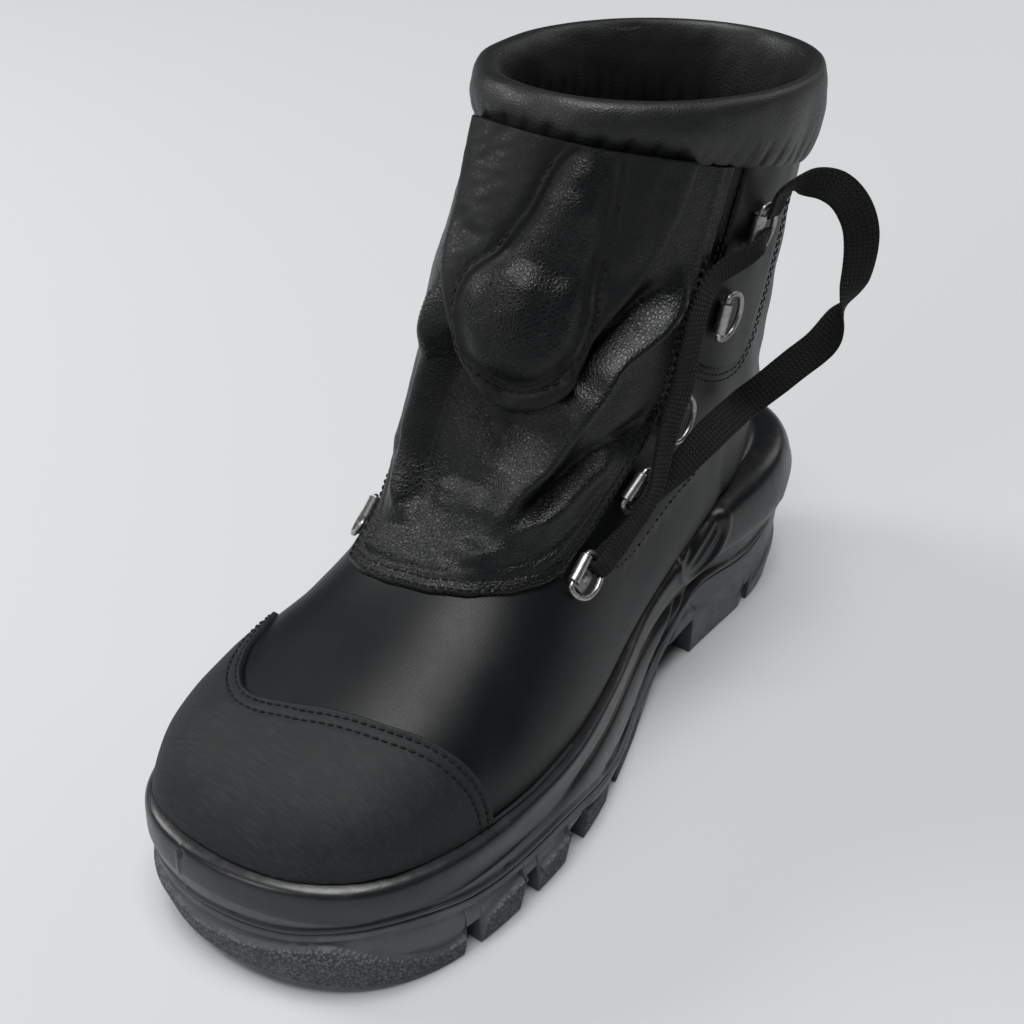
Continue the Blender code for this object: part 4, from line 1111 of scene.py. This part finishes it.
panel_along, panel_around = panel_places(
    PANEL_ROWS, PANEL_COLUMNS, PANEL_HEM, (PANEL_INNER_EDGE, PANEL_OUTER_EDGE), PANEL_TOP)
panel_skin = surface(panel_along, panel_around)
panel_border = border(panel_along, panel_around)
to_edge, _, _ = beside_line(panel_skin, panel_border)
folds = crease_relief(panel_skin)
fine = sum(
    height * waves(panel_skin * stretch, seed, size) for height, seed, size, stretch in FINE_WRINKLES)
from_along = (panel_along - WRINKLED_MIDDLE[0]) / WRINKLED_HALF[0]
from_around = (panel_around - WRINKLED_MIDDLE[1]) / WRINKLED_HALF[1]
wrinkled = 0.15 + 0.85 * np.exp(-from_along ** 2 - from_around ** 2)
body_of_panel = ease(5.0, 13, to_edge)
soft_relief = folds + fine * wrinkled + 0.35 * waves(panel_skin, 33, 24)
panel_relief = PANEL_THICKNESS + soft_relief * body_of_panel
panel_relief = panel_relief + folds * (1 - body_of_panel) * ease(0, 6, to_edge) * 0.5
roll_height, roll_distance, roll_width = HEM_ROLL
panel_relief = panel_relief + roll_height * hill(roll_distance, roll_width, to_edge)
panel_relief = panel_relief * rounded(to_edge, 1.5)
panel_seams = [shifted(panel_border, distance)[12:-12] for distance in PANEL_STITCHES]
for seam in panel_seams:
    panel_relief = panel_relief - seam_groove(panel_skin, seam)
panel_sink = hollow_depth(panel_skin)
panel_out = GAP + np.maximum(panel_relief, 0) - panel_sink
soft_leather = leather(
    "pebbled black leather", (0.0042, 0.0050, 0.0058), 0.24, grain=1.3, grain_depth=0.14, pores=0.3,
    scuffs=0.12, specular=0.32)
panel_points, panel_faces = sheet(panel_along, panel_around, panel_out, UNDERSIDE - panel_sink)
front_panel = add_piece("soft_front_panel", panel_points, panel_faces, soft_leather, sharp=60)
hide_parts("front_panel")
stitches("front_panel_stitches", [(seam, face_at(PANEL_THICKNESS)) for seam in panel_seams], thread)


# Pad: a soft, filled leather pad sewn over the panel's top. A smooth band bulges over the leather under it
# and frames a round, pebbled inlay with a piped rim and a row of thread.
PAD_TOP = 16.4
PAD_HEM = [
    (0, 12.3), (0.05, 11.9), (0.12, 11.58), (0.22, 11.3), (0.36, 11.12), (0.5, 11.1), (0.64, 11.22),
    (0.76, 11.44), (0.86, 11.75), (0.93, 12.1), (0.98, 12.5), (1, 13.0),
]
PAD_INNER_EDGE = [
    (11, 0.506), (11.8, 0.507), (12.43, 0.510), (12.97, 0.517), (13.47, 0.529), (13.87, 0.543),
    (14.6, 0.556), (16.4, 0.566),
]
PAD_OUTER_EDGE = [
    (11, 0.398), (11.6, 0.394), (12.1, 0.390), (12.6, 0.388), (13.1, 0.386), (13.69, 0.376), (14.2, 0.360),
    (15, 0.346), (16.4, 0.338),
]
INLAY = [
    # the inlay's rim, from its inner top round the bottom to its outer top
    (16.3, 0.446), (15.9, 0.456), (15.3, 0.461), (14.85, 0.470), (14.5, 0.478), (14.29, 0.485),
    (13.94, 0.499), (13.48, 0.503), (12.97, 0.501), (12.43, 0.494), (12.16, 0.481), (11.96, 0.463),
    (11.97, 0.447), (12.17, 0.431), (12.55, 0.416), (13.07, 0.402), (13.56, 0.394), (13.95, 0.392),
    (14.17, 0.393), (14.7, 0.396), (15.5, 0.404), (16.3, 0.412),
]
PAD_FOLDS = [
    # height, half width, line: creases that run from the pad's rim into the leather beside it
    (-1.8, 3, [(12.9, 0.385), (12.7, 0.40), (12.45, 0.417)]),
    (-1.3, 4, [(15.2, 0.35), (14.6, 0.375), (14.1, 0.388)]),
    (-1.8, 5, [(14.9, 0.385), (14.55, 0.41), (14.45, 0.44), (14.6, 0.47), (14.9, 0.50)]),
    (1.2, 5, [(15.55, 0.41), (15.4, 0.435), (15.45, 0.46)]),
    (-1.2, 3, [(14.9, 0.545), (14.6, 0.52), (14.5, 0.495)]),
    (-0.9, 3, [(12.1, 0.50), (11.6, 0.48), (11.5, 0.455), (11.7, 0.43)]),
]
PAD_ROWS, PAD_COLUMNS = 154, 136
PAD_BULGE, PAD_EDGE_RADIUS = 7.6, 5.5
RIM_DEPTH, RIM_HALF, PIPING = 2.4, 3.4, (0.55, 1.2, 1.1)      # piping: height, distance, half width
PAD_STITCHES = -2.1                   # to the inlay's outside

pad_along, pad_around = panel_places(
    PAD_ROWS, PAD_COLUMNS, PAD_HEM, (PAD_INNER_EDGE, PAD_OUTER_EDGE), PAD_TOP)
pad_skin = surface(pad_along, pad_around)
pad_edge, _, _ = beside_line(pad_skin, border(pad_along, pad_around))
rim_distance, rim_side, _ = beside_line(pad_skin, dense(INLAY, 260))
in_inlay = ease(-1.2, 1.2, rim_distance * rim_side)
fullness = 0.68 + 0.52 * (1 - ease(12.5, 14.6, pad_along)) + 0.2 * ease(14.8, 15.8, pad_along)
bulge = PAD_BULGE * fullness * rounded(pad_edge, PAD_EDGE_RADIUS)
piping_height, piping_distance, piping_half = PIPING
piping = piping_height * hill(piping_distance, piping_half, rim_distance * -rim_side)
bulge = bulge - RIM_DEPTH * np.exp(-(rim_distance / RIM_HALF) ** 2) + piping
bulge = bulge + 0.6 * in_inlay * ease(0, 16, rim_distance)
for height, half_width, line in PAD_FOLDS:
    distance, _, run = beside_line(pad_skin, line)
    bulge = bulge + height * np.sin(math.pi * run) * np.exp(-(distance / half_width) ** 2)
bulge = bulge + (0.35 * waves(pad_skin, 41, 13) + 0.12 * waves(pad_skin, 42, 5)) * ease(0, 6, pad_edge)
pad_seam = shifted(INLAY, PAD_STITCHES)[8:-8]
bulge = bulge - seam_groove(pad_skin, pad_seam)
pad_relief = GAP + PANEL_THICKNESS * 0.4 + np.maximum(bulge, 0)
seam_cells = [
    np.argmin(((pad_skin.reshape(-1, 3) - spot) ** 2).sum(axis=1)) for spot in surface(*pad_seam.T)]
pad_seam_out = pad_relief.ravel()[seam_cells]
pad_points, pad_faces = sheet(pad_along, pad_around, pad_relief, 2 * UNDERSIDE)
pad_leather = leather(
    "soft pad leather", (0.0040, 0.0047, 0.0055), 0.26, grain=1.3, grain_depth=0.14, pores=0.3,
    scuffs=0.12, specular=0.30, grained="pebbled")
pebbled = np.zeros(len(pad_points))
pebbled[:pad_skin[..., 0].size] = (in_inlay * ease(0.5, 3, rim_distance)).ravel()
pad = add_piece(
    "padded_front_patch", pad_points, pad_faces, pad_leather, marks={"pebbled": pebbled}, sharp=60)
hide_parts("front_patch")


def pad_face(along, around):
    """How far out the pad's face lies, for places spread evenly along its seam."""
    return np.interp(np.linspace(0, 1, len(along)), np.linspace(0, 1, len(pad_seam)), pad_seam_out)


stitches("pad_stitches", [(pad_seam, pad_face)], thread)


# Ring panels: a smooth leather panel on each side of the shaft, under the two upper lace rings. Each is
# sewn on round its rounded bottom with two rows of thread.
SINGLE_LEATHER = 1.3
OVERLAY_TOP = 16.4
RING_PANEL_HEM = [
    (0, 14.35), (0.05, 14.12), (0.12, 13.96), (0.22, 13.83), (0.35, 13.73), (0.52, 13.64), (0.7, 13.6),
    (0.84, 13.63), (0.93, 13.72), (1, 13.95),
]
RING_PANEL_SIDES = (0.203, 0.281)
RING_PANEL_ROWS, RING_PANEL_COLUMNS = 110, 70
RING_PANEL_STITCHES = (1.6, 4.0)
ring_panel_seams = []
for side, turn in (("outer", 1), ("inner", -1)):
    along, around = panel_places(
        RING_PANEL_ROWS, RING_PANEL_COLUMNS, RING_PANEL_HEM, RING_PANEL_SIDES, OVERLAY_TOP)
    skin = surface(along, turn * around)
    line = border(along, turn * around)
    distance, _, _ = beside_line(skin, line)
    seams = [shifted(line, turn * inset)[10:-10] for inset in RING_PANEL_STITCHES]
    height = SINGLE_LEATHER * rounded(distance, 0.9) + 0.2 * waves(skin, 51, 15) * ease(0, 6, distance)
    for seam in seams:
        height = height - seam_groove(skin, seam)
    points, faces = sheet(along, turn * around, GAP + np.maximum(height, 0), UNDERSIDE)
    ring_panel = add_piece(f"ring_panel_{side}", points, faces, smooth_leather, sharp=60)
    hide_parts(f"eyestay_{side}")
    ring_panel_seams += [(seam, face_at(SINGLE_LEATHER)) for seam in seams]
stitches("ring_panel_stitches", ring_panel_seams, thread)


# Quarter stitches: one row of finer thread on each side, along the upper's own seam from the front panel
# back to the heel. They lie in the bed that the seam's thread draws in the leather.
FINE_THREAD_RADIUS = 0.2
quarter_seams = [
    (shifted(line, turn * THREAD_BED[1])[10:-4], upper_relief)
    for line, turn in ((QUARTER_SEAM, 1), (mirrored(QUARTER_SEAM), -1))]
stitches("quarter_stitches", quarter_seams, thread, size=FINE_THREAD_RADIUS)


# Back seam: a folded strip of leather up the back of the shaft, over the join of the two quarters, with a
# row of thread on each side and a second pair on the quarters beside it.
SEAM_HALF = 0.014
SEAM_BOTTOM, BESIDE_BOTTOM = 13.35, 12.9
BACK_ROWS, BACK_COLUMNS = 150, 40
STRIP_STITCHES, BESIDE_STITCHES = (-2.4, 2.4), (-5.6, 5.6)


def back_line(bottom):
    """The middle of the back, from a place on the heel up to the collar."""
    return [(bottom, 0), (14.2, 0), (15.2, 0), (OVERLAY_TOP, 0)]


along, around = panel_places(
    BACK_ROWS, BACK_COLUMNS, [(0, SEAM_BOTTOM), (1, SEAM_BOTTOM)], (-SEAM_HALF, SEAM_HALF), OVERLAY_TOP)
skin = surface(along, around)
distance, _, _ = beside_line(skin, border(along, around))
middle, _, _ = beside_line(skin, back_line(SEAM_BOTTOM))
height = SINGLE_LEATHER * rounded(distance, 0.8) + 0.9 * np.exp(-(middle / 1.5) ** 2)
height = height + 0.10 * waves(skin, 61, 6)
strip_seams = [shifted(back_line(SEAM_BOTTOM), aside)[3:-3] for aside in STRIP_STITCHES]
for seam in strip_seams:
    height = height - seam_groove(skin, seam)
points, faces = sheet(along, around, GAP + np.maximum(height, 0), UNDERSIDE)
back_seam = add_piece("back_seam_strip", points, faces, smooth_leather, sharp=60)
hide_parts("back_seam")
beside_seams = [shifted(back_line(BESIDE_BOTTOM), aside)[3:-3] for aside in BESIDE_STITCHES]
stitches("back_stitches", [(seam, face_at(SINGLE_LEATHER)) for seam in strip_seams] + [
    (seam, upper_relief) for seam in beside_seams], thread)


# Collar: a padded roll of soft leather, filled with foam. It runs over the top edge into the lining, is
# drawn in by a row of thread along its lower seam, and puckers there.
COLLAR = [
    # along, out: the roll's section from the lower seam outside, over the rim, to the seam in the lining
    (16.33, 0.2), (16.34, 1.5), (16.40, 2.7), (16.50, 3.7), (16.63, 4.4), (16.77, 4.5), (16.90, 4.0),
    (16.99, 3.0), (17.04, 1.6), (17.05, 0.0), (17.03, -1.6), (16.96, -3.2), (16.84, -4.6), (16.68, -5.5),
    (16.50, -5.8), (16.32, -5.3), (16.20, -4.2), (16.13, -3.0), (16.12, -2.0), (16.2, -1.1), (16.3, -0.5),
]
COLLAR_ACROSS, COLLAR_AROUND = 66, 560
PUCKER, PUCKER_DEPTH, PUCKER_TOP = 7.5, 0.75, (16.72, 16.38)  # spacing, depth, and where they fade out
knots = np.arange(len(COLLAR) + 1)
section = spline(knots, COLLAR + COLLAR[:1], np.linspace(0, len(COLLAR), COLLAR_ACROSS, endpoint=False))
roll_along, roll_out = section[:, :1], section[:, 1:]
collar_around = np.arange(COLLAR_AROUND) / COLLAR_AROUND
along, around = np.broadcast_arrays(roll_along, collar_around)
run = run_along(surface(np.full(COLLAR_AROUND, 16.5), collar_around))
puckers = round(run[-1] / PUCKER)
phase = 2 * math.pi * puckers * run / (run[-1] + 0.8) + 1.1 * np.sin(run / 23) + 0.7 * np.sin(run / 9.1)
near_seam = ease(*PUCKER_TOP, roll_along) * np.clip(roll_out / 1.5, -1, 1)
out = roll_out - PUCKER_DEPTH * near_seam * (0.5 - 0.5 * np.cos(phase)) ** 3
roll = lifted(along, around, out)
out = out + (0.45 * waves(roll, 71, 30) + 0.14 * waves(roll, 72, 9)) * np.clip(np.abs(roll_out) / 3, 0, 1)
collar_points = lifted(along, around, out)
collar_faces = grid_faces(COLLAR_ACROSS, COLLAR_AROUND, wrap=True, loop=True)
collar_leather = leather(
    "soft collar leather", (0.0075, 0.0083, 0.0091), 0.40, grain=1.2, grain_depth=0.06, pores=0.3,
    scuffs=0.2)
collar = add_piece("padded_collar", collar_points, collar_faces, collar_leather, sharp=60)
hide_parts("collar")


# Lace rings: gunmetal sheet rolled into a barrel, its plate held by a rivet under the leather's edge, and a
# D-shaped wire ring that hangs in the barrel and swings about its bar.
BARREL_RADIUS, BARREL_BORE, BARREL_LENGTH = 1.95, 1.3, 10.0
BARREL_ROLL = (-90, -325)             # degrees, from the plate round to the lip
CLIP_LIFT, PLATE_THICKNESS, PLATE_REACH = 0.65, 0.6, 7.4
RIVET_PLACE, RIVET_RADIUS, RIVET_RISE, RIVET_SUNK = 4.6, 1.7, 0.85, 0.25
RIVET_SIDES, RIVET_RINGS = 28, 9
WIRE_RADIUS, WIRE_SIDES, WIRE_STEPS = 0.95, 18, 60
BAR_STEPS = 16                        # the first steps of the wire, which lie straight in the barrel
HALF_RING = [
    # half of the ring's D, as (along the barrel, away from it)
    (0, 0), (3.0, 0), (6.0, 0), (7.2, 1.1), (7.6, 3.2), (6.8, 6.2), (4.6, 8.7), (1.6, 9.8), (0, 9.95),
]
EYELETS = {
    # side: (along, around, lean in degrees, carrying panel's thickness)
    "outer": [
        (9.08, 0.340, 0, 0), (10.86, 0.308, 4, 0), (12.5, 0.286, 0, 0), (14.45, 0.264, 18, SINGLE_LEATHER),
        (15.7, 0.256, 14, SINGLE_LEATHER),
    ],
    "inner": [
        (8.25, 0.626, 0, 0), (10.1, 0.688, 4, 0), (12.0, 0.713, 0, 0), (13.95, 0.734, 18, SINGLE_LEATHER),
        (15.4, 0.742, 14, SINGLE_LEATHER),
    ],
}
SWINGING = {"outer": (4,), "inner": (1, 2, 3, 4, 5)}


def eyelet_frame(side, number):
    """The frame of a lace ring, numbered from 1 at the bottom: its axes along the barrel, away from the
    front panel and out, and its centre."""
    rows = EYELETS[side]
    along, around, lean, backing = rows[number - 1]
    before, after = rows[max(number - 2, 0)], rows[min(number, len(rows) - 1)]
    out = outward(along, around)
    line = surface(after[0], after[1]) - surface(before[0], before[1])
    line = unit(line - out * (line @ out))
    away = np.cross(line, out) if side == "outer" else np.cross(out, line)
    away = away * math.cos(math.radians(lean)) + line * math.sin(math.radians(lean))
    centre = surface(along, around) + out * (backing + CLIP_LIFT + BARREL_RADIUS)
    return np.stack([np.cross(away, out), away, out]), centre


def normals_of(loop):
    """Unit directions out of a closed, flat loop: each square to the line through a point's neighbours."""
    ahead = unit(np.roll(loop, -1, axis=0) - np.roll(loop, 1, axis=0))
    return np.column_stack([ahead[:, 1], -ahead[:, 0]])


def barrel_mesh():
    """The clip's section, rolled from its lip round to the plate, carried along the barrel. Its ends are
    eased in, so that the rims catch the light."""
    turns = np.radians(np.linspace(*BARREL_ROLL, 40))
    arc = np.column_stack([np.cos(turns), np.sin(turns)])
    outer_arc, inner_arc = BARREL_RADIUS * arc, BARREL_BORE * arc[::-1]
    lip = 0.5 * (outer_arc[-1] + inner_arc[0]) + 0.22 * unit(outer_arc[-1] - outer_arc[-2])
    reach = np.linspace(0.2, PLATE_REACH, 14)
    lower, upper = -BARREL_RADIUS, PLATE_THICKNESS - BARREL_RADIUS
    top = np.column_stack([reach, np.full(14, upper)])
    under = np.column_stack([reach[::-1], np.full(14, lower)])
    end = [(PLATE_REACH + 0.25, 0.5 * (lower + upper))]
    section = np.concatenate([outer_arc, [lip], inner_arc[:-1], top, end, under])
    half = BARREL_LENGTH / 2
    ends = np.array([0, 0.08, 0.25])
    places = np.concatenate([ends - half, np.linspace(-half + 0.6, half - 0.6, 12), half - ends[::-1]])
    inset = 0.16 * (1 - rounded(half - np.abs(places), 0.28))
    normal = normals_of(section)
    rows = [
        np.column_stack([np.full(len(section), x), section - normal * shrink])
        for x, shrink in zip(places, inset)]
    count = len(section)
    faces = grid_faces(len(rows), count, wrap=True).tolist()
    faces += [list(range(count)), list(range((len(rows) - 1) * count, len(rows) * count))]
    return np.concatenate(rows), faces


def rivet_mesh():
    """A low domed rivet head on the plate: a quarter of an ellipse, turned."""
    turn, rise = np.meshgrid(
        np.arange(RIVET_SIDES) * 2 * math.pi / RIVET_SIDES, np.linspace(0, 1, RIVET_RINGS) * math.pi / 2)
    radius = RIVET_RADIUS * np.cos(rise)
    z = PLATE_THICKNESS - BARREL_RADIUS - RIVET_SUNK + RIVET_RISE * np.sin(rise)
    points = np.stack([radius * np.cos(turn), RIVET_PLACE + radius * np.sin(turn), z], axis=-1)
    faces = grid_faces(RIVET_RINGS, RIVET_SIDES, wrap=True).tolist() + [list(range(RIVET_SIDES))]
    return points.reshape(-1, 3), faces


def wire_mesh():
    """The ring's round wire, carried round its D in the barrel's frame."""
    half = spline(range(len(HALF_RING)), HALF_RING, np.linspace(0, len(HALF_RING) - 1, WIRE_STEPS))
    half[:BAR_STEPS, 1] = 0
    loop = np.concatenate([half, (half * [-1, 1])[-2:0:-1]])
    for _ in range(2):
        loop = (np.roll(loop, 1, axis=0) + loop * 2 + np.roll(loop, -1, axis=0)) / 4
    turn = np.arange(WIRE_SIDES) * 2 * math.pi / WIRE_SIDES
    flat = loop[:, None] + normals_of(loop)[:, None] * (WIRE_RADIUS * np.cos(turn))[None, :, None]
    z = np.broadcast_to(WIRE_RADIUS * np.sin(turn), flat.shape[:2])[..., None]
    points = np.concatenate([flat, z], axis=-1).reshape(-1, 3)
    return points, grid_faces(len(loop), WIRE_SIDES, wrap=True, loop=True)


gunmetal = Finish("gunmetal", metallic=1.0)
tarnish = gunmetal.noise(1.6, 4, 0.6)
wear = gunmetal.fade(gunmetal.noise(0.8, 3), 0.35, 0.75)
darkened = gunmetal.fade(tarnish, 0.35, 0.8)
gunmetal.set("base", gunmetal.blend(darkened, (0.42, 0.415, 0.41), (0.24, 0.235, 0.23)))
gunmetal.set("roughness", 0.34 + wear * 0.12)
gunmetal.set("normal", gunmetal.relief(gunmetal.noise(1.2, 2), 0.02))
barrel, barrel_faces = barrel_mesh()
rivet, rivet_faces = rivet_mesh()
wire, wire_faces = wire_mesh()
clip_points = np.concatenate([barrel, rivet])
clip_faces = barrel_faces + [[corner + len(barrel) for corner in face] for face in rivet_faces]
for side, rows in EYELETS.items():
    for number in range(1, len(rows) + 1):
        axes, centre = eyelet_frame(side, number)
        clip = add_piece(
            f"lace_clip_{side}_{number}", clip_points @ axes + centre, clip_faces, gunmetal, sharp=40)
        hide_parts(f"clip_{side}_{number}")
        moving = f"swing_ring_{side}_{number}" if number in SWINGING[side] else "boot"
        ring = add_piece(
            f"lace_ring_{side}_{number}", wire @ axes + centre, wire_faces, gunmetal, moving, sharp=0)
        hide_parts(f"ring_{side}_{number}")


# Lace: one flat, braided black cord. It comes out of the top outer ring, runs down the panel's edge, turns
# round the lowest ring's wire, and goes back up in a free loop into the top ring.
LACE_THICKNESS, LACE_WIDTH = 1.5, 11.0
LACE_STEPS, LACE_SECTION = 560, 28
FLATNESS, SQUARENESS = 0.75, 0.55     # powers of its section across and through: 1 would make it round
GATHERED, BUNCHING, CUPPING = (10.5, 6.5), 0.55, 0.22  # widths between which a ring gathers it, and how much
END_RADIUS = 1.2
BRAID_COLUMNS, BRAID_STEP = 7, 1.5
FRONT_STRAND = [
    # along, around, out, turn in degrees, width
    (15.08, 0.288, 4.4, 0, 9), (14.7, 0.296, 4.8, 0, 10), (14.25, 0.296, 5.2, 2, 10),
    (13.65, 0.294, 5.6, 8, 10), (13.02, 0.296, 5.8, 14, 9.5), (12.42, 0.301, 5.8, 14, 9),
    (11.85, 0.302, 5.8, 12, 8), (11.31, 0.299, 6.2, 8, 7.5), (10.88, 0.297, 6.4, 4, 7),
    (10.2, 0.305, 6.0, 0, 7),
]
FREE_STRAND = [
    (10.2, 0.298, 3.4, 0, 7.5), (10.86, 0.288, 4.3, 2, 8), (11.52, 0.282, 7.0, 32, 9.5),
    (12.34, 0.266, 8.8, 52, 11), (12.88, 0.247, 8.8, 55, 11), (13.24, 0.229, 9.2, 62, 11),
    (13.69, 0.221, 15.2, 74, 11), (14.19, 0.213, 21.8, 80, 11), (14.6, 0.210, 27.2, 92, 11),
    (14.92, 0.210, 28.8, 130, 11), (15.18, 0.210, 30.4, 186, 11), (15.41, 0.211, 31.0, 216, 11),
    (15.93, 0.216, 29.5, 240, 11), (16.16, 0.222, 26.0, 232, 11), (16.31, 0.231, 20.5, 210, 10.5),
    (16.32, 0.242, 14.0, 190, 10), (16.23, 0.250, 9.5, 180, 9),
]
# In a ring's own frame, in millimetres: along the barrel, away from the tongue, out, and the lace's width.
OUT_OF_TOP_RING = [(2.4, 4.6, 0.7, 7), (2.8, 1.4, 2.6, 7), (3.6, -1.6, 3.0, 7.5), (6.2, -5.6, 2.0, 8)]
ROUND_LOWEST_RING = [
    (-14.4, 7.6, 2.4, 7), (-9.2, 6.9, 2.1, 6.5), (-5.6, 6.3, 1.8, 6.5), (-3.9, 6.1, 0.0, 6.5),
    (-5.6, 6.4, -1.5, 6.5), (-10.5, 7.5, -1.6, 6.5),
]
INTO_TOP_RING = [(-11.2, 3.4, 2.9, 8), (-7.4, 4.4, 2.0, 7.5), (-3.6, 4.8, 0.8, 7)]


def over_upper(rows):
    """Points, outward directions, turns and widths of a stretch of lace given by places on the upper."""
    along, around, out, turns, widths = np.array(rows).T
    return lifted(along, around, out), outward(along, around), turns, widths


def by_ring(number, rows):
    """The same for a stretch given in the frame of a ring on the outer side."""
    axes, centre = eyelet_frame("outer", number)
    rows = np.array(rows)
    return rows[:, :3] @ axes + centre, np.tile(axes[2], (len(rows), 1)), np.zeros(len(rows)), rows[:, 3]


TOP_RING, LOWEST_RING = 5, 1
stretches = [
    # away from the top ring (-1), round the lowest (0) or back up (1), and the stretch
    (-1, by_ring(TOP_RING, OUT_OF_TOP_RING)),
    (-1, over_upper(FRONT_STRAND)),
    (0, by_ring(LOWEST_RING, ROUND_LOWEST_RING)),
    (1, over_upper(FREE_STRAND)),
    (1, by_ring(TOP_RING, INTO_TOP_RING)),
]
route, faces_out, turns, widths = (
    np.concatenate([stretch[part] for _, stretch in stretches]) for part in range(4))
turns = np.radians(turns)[:, None]
turns[-len(INTO_TOP_RING):] = math.pi      # it comes back into the top ring turned over
heading = np.concatenate([np.full(len(stretch[0]), way) for way, stretch in stretches])[:, None]
knots = np.concatenate([[0], np.cumsum(np.linalg.norm(np.diff(route, axis=0), axis=1) ** 0.8)])
ahead = unit(spline(knots, route, knots + 0.01) - spline(knots, route, knots - 0.01))
lowest_away = eyelet_frame("outer", LOWEST_RING)[0][1]
across = unit(np.cross(ahead * np.where(heading == 0, 1, heading), faces_out))
before_turn = across[np.argmax(heading == 0) - 1]
across = np.where(heading == 0, lowest_away * np.sign(lowest_away @ before_turn), across)
across = across * np.cos(turns) + faces_out * np.sin(turns)

# the same route in even steps, with its width turned smoothly from place to place
places = np.linspace(0, knots[-1], LACE_STEPS * 4)
fine_run = run_along(spline(knots, route, places))
places = np.interp(np.linspace(0, fine_run[-1], LACE_STEPS), fine_run, places)
path = spline(knots, route, places)
run = run_along(path)
ahead = unit(np.gradient(path, axis=0))
across = np.column_stack([np.interp(places, knots, column) for column in across.T])
for _ in range(6):
    across[1:-1] = (across[:-2] + across[1:-1] * 2 + across[2:]) / 4
across = unit(across - ahead * (across * ahead).sum(axis=1)[:, None])
face = np.cross(across, ahead)
width = np.interp(places, knots, widths)[:, None]
# its section is a flattened round, thicker and cupped where a ring gathers it, and closed at both ends
turn = np.arange(LACE_SECTION) * 2 * math.pi / LACE_SECTION
flat = np.sign(np.cos(turn)) * np.abs(np.cos(turn)) ** FLATNESS
thick = np.sign(np.sin(turn)) * np.abs(np.sin(turn)) ** SQUARENESS
bunched = 1 + BUNCHING * ease(*GATHERED, width)
cup = CUPPING * (LACE_WIDTH - width) * (flat ** 2 - 0.4)
end_round = rounded(np.minimum(run, run[-1] - run), END_RADIUS)[:, None]
sideways = flat * width / 2 * end_round
outwards = thick * LACE_THICKNESS / 2 * bunched * end_round - cup
lace_points = path[:, None] + across[:, None] * sideways[..., None]
lace_points = lace_points + face[:, None] * outwards[..., None]
lace_faces = grid_faces(LACE_STEPS, LACE_SECTION, wrap=True).tolist()
lace_faces += [list(range(first, first + LACE_SECTION)) for first in (0, (LACE_STEPS - 1) * LACE_SECTION)]
lace_uv = np.stack(np.broadcast_arrays(run[:, None], flat), axis=-1)

braid = Finish("black braid", roughness=0.75, specular=0.15, sheen=0.05)
lace_place = braid.node("UVMap", {"uv_map": UV_NAME})
length_along = braid.node("SeparateXYZ", None, {0: lace_place}, output=0)
across_lace = braid.node("SeparateXYZ", None, {0: lace_place}, output=1)
chevron = (across_lace * (BRAID_COLUMNS / 2)).math("PINGPONG", 0.5)
strands = (length_along * (1 / BRAID_STEP) + chevron).math("PINGPONG", 0.5)
weave = braid.fade(strands, 0.08, 0.42) * braid.fade(chevron, 0.02, 0.2)
fuzz = braid.noise(0.4, 3)
braid.set("base", braid.blend(weave * 0.8 + fuzz * 0.3, (0.0015, 0.0015, 0.0020), (0.0100, 0.0100, 0.0110)))
braid.set("normal", braid.relief(fuzz, 0.05, braid.relief(weave, 0.35)))
lace = add_piece("flat_braided_lace", lace_points, lace_faces, braid, uv=lace_uv, sharp=0)
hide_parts("lace_front_strand")
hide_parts("lace_free_strand")
# the first point of the lace's middle line, in metres
tuple(path[0] * MM)
